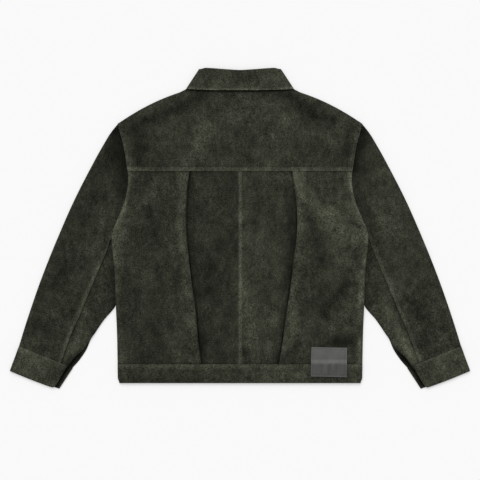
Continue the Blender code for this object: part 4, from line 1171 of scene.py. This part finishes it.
def cuff(name, side, cloth):
    """From the upper side's vent edge, round the outer fold, to the under side's edge."""
    middle = CUFF_WALL / 2
    over = WALL / 2 + 3 * GAP + middle
    lap_share = LAP / CUFF_LENGTH
    way = (Vector(CUFF_OUTER[1]) - Vector(CUFF_OUTER[0])).normalized()
    sections = []
    shares = dense((0.0, lap_share, 0.25, 0.6, CUFF_CORNER[0]), 0.05)
    for share in shares + spread(CUFF_CORNER[0], 1.0, 6)[1:]:
        outer = mix(Vector(CUFF_OUTER[0]), Vector(CUFF_OUTER[1]), share)
        inner = mix(Vector(CUFF_INNER[0]), Vector(CUFF_INNER[1]), share)
        inner_low = mix(Vector(CUFF_INNER_LOW[0]), Vector(CUFF_INNER_LOW[1]), share)
        across = (outer - inner).normalized()
        corner = max(share - CUFF_CORNER[0], 0.0) / (1 - CUFF_CORNER[0])
        inner += across * CUFF_CORNER[1] * (1 - math.sqrt(1 - corner ** 2))
        lapped = 1 - smooth(lap_share, CUFF_SETTLED, share)

        def top(place):
            return mix(CUFF_UP, sleeve_level(place.x, place.y) + over, lapped)

        def bowed(place, z):
            part_way = (place - inner_low).length / (outer - inner_low).length
            place = place + way * CUFF_BOW * share * 4 * part_way * (1 - part_way)
            return place.x, place.y, z

        fold = outer_fold(outer, across, top(outer), middle, CUFF_WALL, 11)
        tangent = Vector(fold[0][:2])
        section = [bowed(place, middle) for place in spread(inner_low, tangent, 36)]
        section += fold[1:-1]
        width = (Vector(fold[-1][:2]) - inner).length
        strip = LAP / 2 + STRIP_EASE
        stops = (width, SEAM_TO_VENT + strip + LAP_STEP, SEAM_TO_VENT + strip,
                 SEAM_TO_VENT - strip, SEAM_TO_VENT - strip - LAP_STEP, 0.0)
        for stop in chain(stops, (28, 3, 5, 3, 3)):
            place = inner + across * stop
            raised = 1 - smooth(strip, strip + LAP_STEP, abs(stop - SEAM_TO_VENT))
            section.append(bowed(place, top(place) + lapped * LAP_RISE * raised))
        sections.append(section)

    def tone(x, up):
        # Painted highlight at the cuff's seam; painted shade along the vent.
        seam = beside(np.abs(x), up, CUFF_LINE)[0]
        vent = beside(np.abs(x), up, CUFF_VENT)[0]
        edge = 1 - glow(vent, CUFF_VENT_SHADE) * rise(*CUFF_VENT_FADE, up)
        return CUFF_TONE * (1 + glow(seam, CUFF_SEAM_GLOW)) * edge

    shell(name, mirrored(sections, side), CUFF_WALL, cloth, lift=(0.0024, 0.0036), tone=tone,
          inside=shaded_vent_layer)


# ---- Collar and patch ------------------------------------------------------------

def collar_back(across, depth):
    """Plan point of the collar's back; depth runs from its fold line to its free edge."""
    half = abs(across)
    fold_up = mix(COLLAR_TOP, COLLAR_SIDE[0][1] + COLLAR_TOP_DIP, half ** COLLAR_TOP_BEND)
    fold_up -= COLLAR_TOP_DIP * smooth(*COLLAR_CORNER, half)
    free_up = mix(COLLAR_LOW, COLLAR_SIDE[1][1], half ** 4)
    x = across * mix(COLLAR_SIDE[0][0], COLLAR_SIDE[1][0], depth)
    inset = COLLAR_OUTWARD * (COLLAR_OUT + WALL / 2)
    up = mix(fold_up, free_up, depth) - inset.y * half ** 6
    return Vector((x - math.copysign(inset.x * half ** 3, x), up))


def collar_front(forward, depth):
    """Plan half and up of the collar's leaf below the front, from its side fold on."""
    fold = mix(Vector(COLLAR_SIDE[0]), Vector(COLLAR_FRONT[0]), forward)
    free = mix(Vector(COLLAR_SIDE[1]), Vector(COLLAR_FRONT[1]), forward)
    return mix(fold, free, depth)


def stand_depth(across):
    """How deep the stand reaches before it meets the yoke's neck."""
    low, high = 0.3, 1.0
    for _ in range(20):
        depth = (low + high) / 2
        place = collar_back(across, depth)
        if place.y > shoulder_up(abs(place.x)) + 2 * GAP:
            low = depth
        else:
            high = depth
    return low


def collar_profile(stand):
    """(depth, distance from the core) from the free edge, over the fold, down the stand."""
    turn = TURN / COLLAR_FALL
    profile = [(depth, COLLAR_OUT) for depth in spread(1.0, turn, 16)]
    for angle in spread(math.pi / 2, -math.pi / 2, 8)[1:-1]:
        profile.append((turn - turn * math.cos(angle), COLLAR_OUT - TURN * (1 - math.sin(angle))))
    return profile + [(depth, COLLAR_IN) for depth in spread(turn, stand, 9)]


def collar(cloth):
    """One folded band: back, both side turns and the leaves below the fronts."""
    stations = [("front", forward) for forward in spread(1.0, 0.0, LEAF_ROWS)]
    stations += [("side", angle) for angle in spread(-math.pi / 2, math.pi / 2, COLLAR_TURN)[1:-1]]
    half = []
    for kind, place in stations:
        line = []
        stand = mix(stand_depth(1.0), LEAF_STAND, place if kind == "front" else 0.0)
        for depth, distance in collar_profile(stand):
            if kind == "side":
                depth += COLLAR_ROUND * math.cos(place) * (1 - depth)
            plan = collar_front(place if kind == "front" else 0.0, depth)
            height = -distance
            if kind == "side":
                height = distance * math.sin(place)
                plan = plan + COLLAR_OUTWARD * distance * math.cos(place)
            plan = plan - COLLAR_OUTWARD * (COLLAR_OUT + WALL / 2)
            line.append((plan.x, plan.y, COLLAR_CORE + height))
        half.append(line)
    middle = []
    for across in spread(1.0, -1.0, COLLAR_ACROSS):
        line = []
        for depth, distance in collar_profile(stand_depth(abs(across))):
            plan = collar_back(across, depth)
            line.append((plan.x, plan.y, COLLAR_CORE + distance))
        middle.append(line)
    left = [[(-x, up, z) for x, up, z in line] for line in reversed(half)]

    def tone(x, up):
        # Painted highlight along the free edge, with painted shade and highlight of the folds.
        edge = up - COLLAR_LOW - COLLAR_EDGE_CURVE * (np.abs(x) / COLLAR_HALF) ** 4
        return COLLAR_TONE * (1 + glow(edge, COLLAR_EDGE_HIGHLIGHT)) + creased(x, up, COLLAR_SHADES, SHADE)

    def rumple(x, up, z):
        return uneven(x, up, [COLLAR_WAVE]) * rise(*COLLAR_LEVEL_FADE, z)

    shell("collar_cloth", half + middle + left, WALL, cloth, None, tone, rumple, shade_folds=False)


def hem_surface(x, up):
    """Height of the outer face of the band and of the panel above it."""
    panel = panels_level(x, up) + WALL / 2
    return panel + (BAND_WALL + GAP) * (1 - smooth(*PATCH_STEP, up - BAND_TOP))


def patch_point(across, down):
    """Plan point of the patch, from places along its own two sides."""
    turn = Vector((math.cos(PATCH_TURN), math.sin(PATCH_TURN)))
    return Vector(PATCH_CENTRE) + turn * across + turn.orthogonal() * down


def patch_place(x, up):
    """Places along the patch's own two sides, from plan points."""
    turn = Vector((math.cos(PATCH_TURN), math.sin(PATCH_TURN)))
    left = turn.orthogonal()
    x, up = x - PATCH_CENTRE[0], up - PATCH_CENTRE[1]
    return x * turn.x + up * turn.y, x * left.x + up * left.y


def patch(leather):
    """A plain leather patch sewn over the hem band's seam."""
    wide, tall = PATCH_SIZE[0] / 2, PATCH_SIZE[1] / 2
    sections = []
    for down in spread(-tall, tall, PATCH_ROWS):
        section = []
        for across in spread(-wide, wide, PATCH_COLUMNS):
            place = patch_point(across, down)
            z = hem_surface(place.x, place.y) + GAP + PATCH_WALL / 2
            section.append((place.x, place.y, z))
        sections.append(section)

    def inset(x, up):
        across, down = patch_place(x, up)
        return np.minimum(wide - np.abs(across), tall - np.abs(down))

    def tone(x, up):
        # Painted highlight where the patch steps off the band and along its edge; painted shade along the
        # pressed line, and the wrinkles' painted shade and highlight.
        on_band, above = PATCH_TONE
        shade = on_band + above * rise(*PATCH_FADE, up) + glow(up - BAND_TOP, PATCH_STEP_HIGHLIGHT)
        return shade + glow(inset(x, up), PATCH_EDGE_LIGHT_AND_SHADE) + creased(x, up, PATCH_WRINKLES, TONE)

    def pressed(x, up, z):
        return glow(inset(x, up), PATCH_PRESSED) + creased(x, up, PATCH_WRINKLES, HEIGHT)

    shell("leather_patch", sections, PATCH_WALL, leather, tone=tone, extra=pressed, shade_folds=False)


# ---- Stitching -------------------------------------------------------------------

STITCH_PITCH = 0.0036
STITCH_LENGTH = 0.0027
STITCH_RADIUS = 0.00030
STITCH_RINGS = ((0.0, 0.35, -0.0005), (0.18, 1.0, 0.0), (0.82, 1.0, 0.0), (1.0, 0.35, -0.0005))
STITCH_SIDES = 5
STITCH_SEAT = 0.6        # how high a stitch's middle lies, as a share of its radius


def spaced(line, pitch):
    """Plan points every pitch along a line."""
    reach = [0.0]
    for first, second in zip(line, line[1:]):
        reach.append(reach[-1] + math.dist(first, second))
    places = np.arange(0.5 * pitch, reach[-1] - 0.5 * pitch, pitch)
    return np.stack([np.interp(places, reach, [point[axis] for point in line]) for axis in (0, 1)], axis=1)


def offset_line(line, distance):
    """A plan line moved sideways, to its left as it runs."""
    moved = []
    for index, point in enumerate(line):
        before, after = line[max(index - 1, 0)], line[min(index + 1, len(line) - 1)]
        way = Vector((after[0] - before[0], after[1] - before[1])).normalized()
        moved.append((point[0] - way.y * distance, point[1] + way.x * distance))
    return moved


def stitching(name, lines, thread, tree):
    """Rows of single stitches that lie on the cloth along plan lines."""
    points, faces = [], []
    down = Vector((0.0, 0.0, -1.0))
    out = -down
    for line in lines:
        spots = spaced(line, STITCH_PITCH)
        for spot, after in zip(spots, spots[1:]):
            way = Vector(after - spot).normalized()
            ends = []
            for share in (0.0, 1.0):
                place = Vector(spot) + way * STITCH_LENGTH * share
                hit = tree.ray_cast(Vector((place.x, place.y - MIDDLE, -down.z)), down)[0]
                ends.append(hit)
            if None in ends:
                continue
            if abs(ends[0].z - ends[1].z) > STITCH_LENGTH / 2:
                continue
            run = ends[1] - ends[0]
            across = run.cross(down).normalized()
            base = len(points)
            for share, width, sink in STITCH_RINGS:
                centre = ends[0] + run * share + out * (STITCH_RADIUS * STITCH_SEAT + sink)
                for side_number in range(STITCH_SIDES):
                    angle = 2 * math.pi * side_number / STITCH_SIDES
                    radial = across * math.cos(angle) + out * math.sin(angle)
                    points.append(centre + radial * STITCH_RADIUS * width)
            for ring in range(len(STITCH_RINGS) - 1):
                for side_number in range(STITCH_SIDES):
                    here = base + ring * STITCH_SIDES + side_number
                    beyond = base + ring * STITCH_SIDES + (side_number + 1) % STITCH_SIDES
                    faces.append((here, beyond, beyond + STITCH_SIDES, here + STITCH_SIDES))
            last = base + (len(STITCH_RINGS) - 1) * STITCH_SIDES
            faces.append(tuple(range(base + STITCH_SIDES - 1, base - 1, -1)))
            faces.append(tuple(range(last, last + STITCH_SIDES)))
    mesh = bpy.data.meshes.new(name)
    mesh.from_pydata([tuple(point) for point in points], [], faces)
    mesh.shade_smooth()
    mesh.materials.append(thread)
    piece = bpy.data.objects.new(name, mesh)
    bpy.context.scene.collection.objects.link(piece)
    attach(piece, "root")


def both_sides(lines):
    return lines + [[(-x, up) for x, up in line] for line in lines]


NEEDLE_IN, NEEDLE_OUT = 0.0017, 0.0064      # both needle rows, from a lap's edge


def top_rows():
    """Plan lines of the stitch rows that show from above, by seam."""
    yoke = [[(-0.247, YOKE_SEAM + row), (0.247, YOKE_SEAM + row)] for row in (NEEDLE_IN, NEEDLE_OUT)]
    centre = [[(CENTRE_SEAM_EDGE + row, BAND_TOP + 0.001), (CENTRE_SEAM_EDGE + row, YOKE_SEAM - 0.001)]
              for row in (NEEDLE_IN, NEEDLE_OUT)]
    beside_patch = PATCH_SIZE[0] / 2 + STITCH_LENGTH
    hem = [[(-0.268, BAND_TOP - NEEDLE_IN), (PATCH_CENTRE[0] - beside_patch, BAND_TOP - NEEDLE_IN)],
           [(PATCH_CENTRE[0] + beside_patch, BAND_TOP - NEEDLE_IN), (0.268, BAND_TOP - NEEDLE_IN)]]
    armhole = [[(body_half(up) - row, up) for up in spread(ARMPIT + 0.012, SHOULDER_TIP[1] - 0.006, 24)]
               for row in (NEEDLE_IN, NEEDLE_OUT)]
    seam = [tuple(guide(SLEEVE_SEAM, share)) for share in spread(0.20, 1.0, 24)]
    sleeve = [offset_line(seam, row) for row in (NEEDLE_IN, NEEDLE_OUT)]
    way = (Vector(CUFF_OUTER[1]) - Vector(CUFF_OUTER[0])).normalized()
    top = [Vector(CUFF_OUTER[0]) + way * 0.002, Vector(CUFF_INNER[0]) + way * 0.002]
    cuffs = [[tuple(mix(top[0], top[1], share)) for share in (0.03, 0.96)]]
    across = [value / 40 for value in range(-39, 40)]
    collar_row = [[tuple(collar_back(value, 0.93)) for value in across]]
    wide, tall = PATCH_SIZE[0] / 2 - PATCH_LINE, PATCH_SIZE[1] / 2 - PATCH_LINE
    corners = [(-wide, -tall), (wide, -tall), (wide, tall), (-wide, tall), (-wide, -tall)]
    patch_row = [[tuple(patch_point(*first)), tuple(patch_point(*second))]
                 for first, second in zip(corners, corners[1:])]
    return {"body": yoke + centre + hem, "sleeves": both_sides(armhole + sleeve + cuffs),
            "collar": collar_row, "patch": patch_row}


# ---- Materials -------------------------------------------------------------------

def nodes_of(name):
    made = bpy.data.materials.new(name)
    made.use_nodes = True
    tree = made.node_tree
    return made, tree, tree.nodes["Principled BSDF"]


def noise(tree, source, scale, detail, roughness=0.5):
    node = tree.nodes.new("ShaderNodeTexNoise")
    node.inputs["Scale"].default_value = scale
    node.inputs["Detail"].default_value = detail
    node.inputs["Roughness"].default_value = roughness
    tree.links.new(source, node.inputs["Vector"])
    return node.outputs["Fac"]


def maths(tree, operation, first, second, third=None):
    node = tree.nodes.new("ShaderNodeMath")
    node.operation = operation
    for socket, value in zip(node.inputs, (first, second, third)):
        if value is None:
            continue
        if isinstance(value, (int, float)):
            socket.default_value = value
        else:
            tree.links.new(value, socket)
    return node.outputs[0]


def place_of(tree):
    return tree.nodes.new("ShaderNodeTexCoord").outputs["Object"]


def tone_of(tree):
    node = tree.nodes.new("ShaderNodeAttribute")
    node.attribute_name = "tone"
    return node.outputs["Fac"]


def around_one(tree, factor, amount):
    """A noise factor as a multiplier about 1."""
    return maths(tree, "MULTIPLY_ADD", factor, 2 * amount, 1 - amount)


def layered(tree, value, rows):
    """A value times noises about 1, each (source, scale, detail, roughness, amount)."""
    for source, scale, detail, roughness, amount in rows:
        factor = noise(tree, source, scale, detail, roughness)
        value = maths(tree, "MULTIPLY", value, around_one(tree, factor, amount))
    return value


def mixed(tree, factor, first, second):
    node = tree.nodes.new("ShaderNodeMix")
    node.data_type = "RGBA"
    tree.links.new(factor, node.inputs["Factor"])
    node.inputs["A"].default_value = (*first, 1.0)
    node.inputs["B"].default_value = (*second, 1.0)
    return node.outputs["Result"]


def scaled(tree, colour, value):
    node = tree.nodes.new("ShaderNodeVectorMath")
    node.operation = "SCALE"
    tree.links.new(colour, node.inputs[0])
    tree.links.new(value, node.inputs["Scale"])
    return node.outputs[0]


def bumped(tree, shader, height, distance, strength):
    bump = tree.nodes.new("ShaderNodeBump")
    bump.inputs["Distance"].default_value = distance
    bump.inputs["Strength"].default_value = strength
    tree.links.new(height, bump.inputs["Height"])
    tree.links.new(bump.outputs["Normal"], shader.inputs["Normal"])


def suede_cloth(name, first, second):
    """Napped suede: blotches, brushed patches and fine fibres."""
    made, tree, shader = nodes_of(name)
    place = place_of(tree)
    along = tree.nodes.new("ShaderNodeVectorMath")
    along.operation = "MULTIPLY"
    along.inputs[1].default_value = (1.0, 0.6, 1.0)
    tree.links.new(place, along.inputs[0])
    brushed = along.outputs[0]
    # The tone attribute brings the painted shade and highlights into the colour.
    value = layered(tree, tone_of(tree), (
        (place, 26.0, 3.0, 0.5, 0.50), (brushed, 66.0, 3.0, 0.6, 0.75),
        (brushed, 160.0, 3.0, 0.6, 0.68), (place, 400.0, 2.0, 0.7, 1.95),
    ))
    value = maths(tree, "MAXIMUM", value, 0.05)
    hue = mixed(tree, noise(tree, place, 34.0, 2.0), first, second)
    tree.links.new(scaled(tree, hue, value), shader.inputs["Base Color"])
    rough = noise(tree, place, 300.0, 2.0)
    tree.links.new(maths(tree, "MULTIPLY_ADD", rough, 0.12, 0.86), shader.inputs["Roughness"])
    shader.inputs["Specular IOR Level"].default_value = 0.05
    shader.inputs["Sheen Weight"].default_value = 0.12
    shader.inputs["Sheen Roughness"].default_value = 0.40
    shader.inputs["Sheen Tint"].default_value = (0.62, 0.66, 0.46, 1.0)
    fibres = maths(tree, "ADD", noise(tree, place, 900.0, 3.0, 0.7), noise(tree, place, 260.0, 3.0, 0.6))
    bumped(tree, shader, fibres, 0.0009, 0.6)
    return made


def patch_material():
    """Smooth grey leather with a fine grain."""
    made, tree, shader = nodes_of("patch_grey_leather")
    place = place_of(tree)
    value = layered(tree, tone_of(tree), (
        (place, 60.0, 3.0, 0.5, 0.34), (place, 700.0, 2.0, 0.5, 0.12),
    ))
    hue = mixed(tree, noise(tree, place, 40.0, 2.0), (0.070, 0.072, 0.068), (0.080, 0.081, 0.077))
    tree.links.new(scaled(tree, hue, value), shader.inputs["Base Color"])
    rough = noise(tree, place, 200.0, 2.0)
    tree.links.new(maths(tree, "MULTIPLY_ADD", rough, 0.15, 0.48), shader.inputs["Roughness"])
    grain = tree.nodes.new("ShaderNodeTexVoronoi")
    grain.inputs["Scale"].default_value = 900.0
    tree.links.new(place, grain.inputs["Vector"])
    bumped(tree, shader, grain.outputs["Distance"], 0.00025, 0.35)
    return made


def thread_material(name, colour):
    made, tree, shader = nodes_of(name)
    place = place_of(tree)
    darker = tuple(0.8 * part for part in colour)
    hue = mixed(tree, noise(tree, place, 900.0, 2.0), darker, colour)
    tree.links.new(hue, shader.inputs["Base Color"])
    shader.inputs["Roughness"].default_value = 0.7
    bumped(tree, shader, noise(tree, place, 2500.0, 1.0), 0.0002, 0.4)
    return made


# ---- The jacket ------------------------------------------------------------------

SUEDE = suede_cloth("olive_suede", (0.0290, 0.0315, 0.0215), (0.0325, 0.0335, 0.0240))
PATCH_LEATHER = patch_material()
THREAD = thread_material("olive_thread", (0.075, 0.078, 0.062))
PATCH_THREAD = thread_material("grey_thread", (0.13, 0.13, 0.125))

back_yoke(SUEDE)
hem_band(SUEDE)
collar(SUEDE)
patch(PATCH_LEATHER)
for word, sign in (("left", -1), ("right", 1)):
    back_panel("back_" + word, sign, SUEDE)
    front_panel("front_cloth_" + word, sign, SUEDE)
    sleeve_upper("sleeve_top_" + word, sign, SUEDE)
    sleeve_under("sleeve_gusset_" + word, sign, SUEDE)
    cuff("cuff_cloth_" + word, sign, SUEDE)

STANDS_FOR = {
    "yoke": "back_yoke", "hem_band_cloth": "hem_band", "collar_cloth": "collar",
    "leather_patch": "patch",
}
for word in ("left", "right"):
    STANDS_FOR.update({
        "back_" + word: "back_panel_" + word, "front_cloth_" + word: "front_" + word,
        "sleeve_top_" + word: "sleeve_upper_" + word, "sleeve_gusset_" + word: "sleeve_under_" + word,
        "cuff_cloth_" + word: "cuff_" + word,
    })
for name, (piece, flat, area) in MADE.items():
    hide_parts(STANDS_FOR[name])

corners, polygons = [], []
for piece, _, _ in MADE.values():
    start = len(corners)
    corners += [vertex.co.copy() for vertex in piece.data.vertices]
    polygons += [tuple(start + index for index in polygon.vertices) for polygon in piece.data.polygons]
cloth_tree = BVHTree.FromPolygons(corners, polygons)
for word, lines in top_rows().items():
    stitching("stitches_" + word, lines, PATCH_THREAD if word == "patch" else THREAD, cloth_tree)

# ---- Floor, light and camera -----------------------------------------------------

CAMERA_HEIGHT = 2.970
CAMERA_UP = 0.3182       # height on the jacket that the camera looks down at
CAMERA_LENS = 100.0      # millimetres, as is the sensor
SENSOR_WIDTH = 36.0
FLOOR_HALF = 4.0
FLOOR_DROP = 0.0001      # how far the floor lies below the jacket
FLOOR_GREY = 0.60
FLOOR_GLOW = 0.332
SKY_STRENGTH = 0.57
KEY_WAY = (-0.25, 0.75, 1.0)
KEY_SPREAD = 50.0        # degrees
KEY_STRENGTH = 1.85

scene = bpy.context.scene
scene.view_settings.view_transform = "Standard"

floor_mesh = bpy.data.meshes.new("floor")
floor_corners = [(x * FLOOR_HALF, y * FLOOR_HALF, 0.0) for x, y in ((-1, -1), (1, -1), (1, 1), (-1, 1))]
floor_mesh.from_pydata(floor_corners, [], [(0, 1, 2, 3)])
floor = bpy.data.objects.new("floor", floor_mesh)
floor.location.z = -FLOOR_DROP
floor_look, floor_tree, floor_shader = nodes_of("pale_floor")
floor_shader.inputs["Base Color"].default_value = (FLOOR_GREY, FLOOR_GREY, FLOOR_GREY, 1.0)
floor_shader.inputs["Emission Color"].default_value = (1.0, 1.0, 1.0, 1.0)
floor_shader.inputs["Emission Strength"].default_value = FLOOR_GLOW
floor_shader.inputs["Roughness"].default_value = 0.9
floor_shader.inputs["Specular IOR Level"].default_value = 0.0
floor_mesh.materials.append(floor_look)
scene.collection.objects.link(floor)

world = bpy.data.worlds.new("studio")
world.use_nodes = True
world.node_tree.nodes["Background"].inputs["Color"].default_value = (1.0, 1.0, 1.0, 1.0)
world.node_tree.nodes["Background"].inputs["Strength"].default_value = SKY_STRENGTH
scene.world = world


def sun(name, towards, spread_degrees, strength):
    data = bpy.data.lights.new(name, "SUN")
    data.angle = math.radians(spread_degrees)
    data.energy = strength
    made = bpy.data.objects.new(name, data)
    made.rotation_euler = Vector(towards).to_track_quat("Z", "Y").to_euler()
    scene.collection.objects.link(made)


sun("key", KEY_WAY, KEY_SPREAD, KEY_STRENGTH)

eye = bpy.data.cameras.new("photo")
eye.lens = CAMERA_LENS
eye.sensor_width = SENSOR_WIDTH
camera = bpy.data.objects.new("photo", eye)
camera.location = (0.0, CAMERA_UP - MIDDLE, CAMERA_HEIGHT)
scene.collection.objects.link(camera)
scene.camera = camera
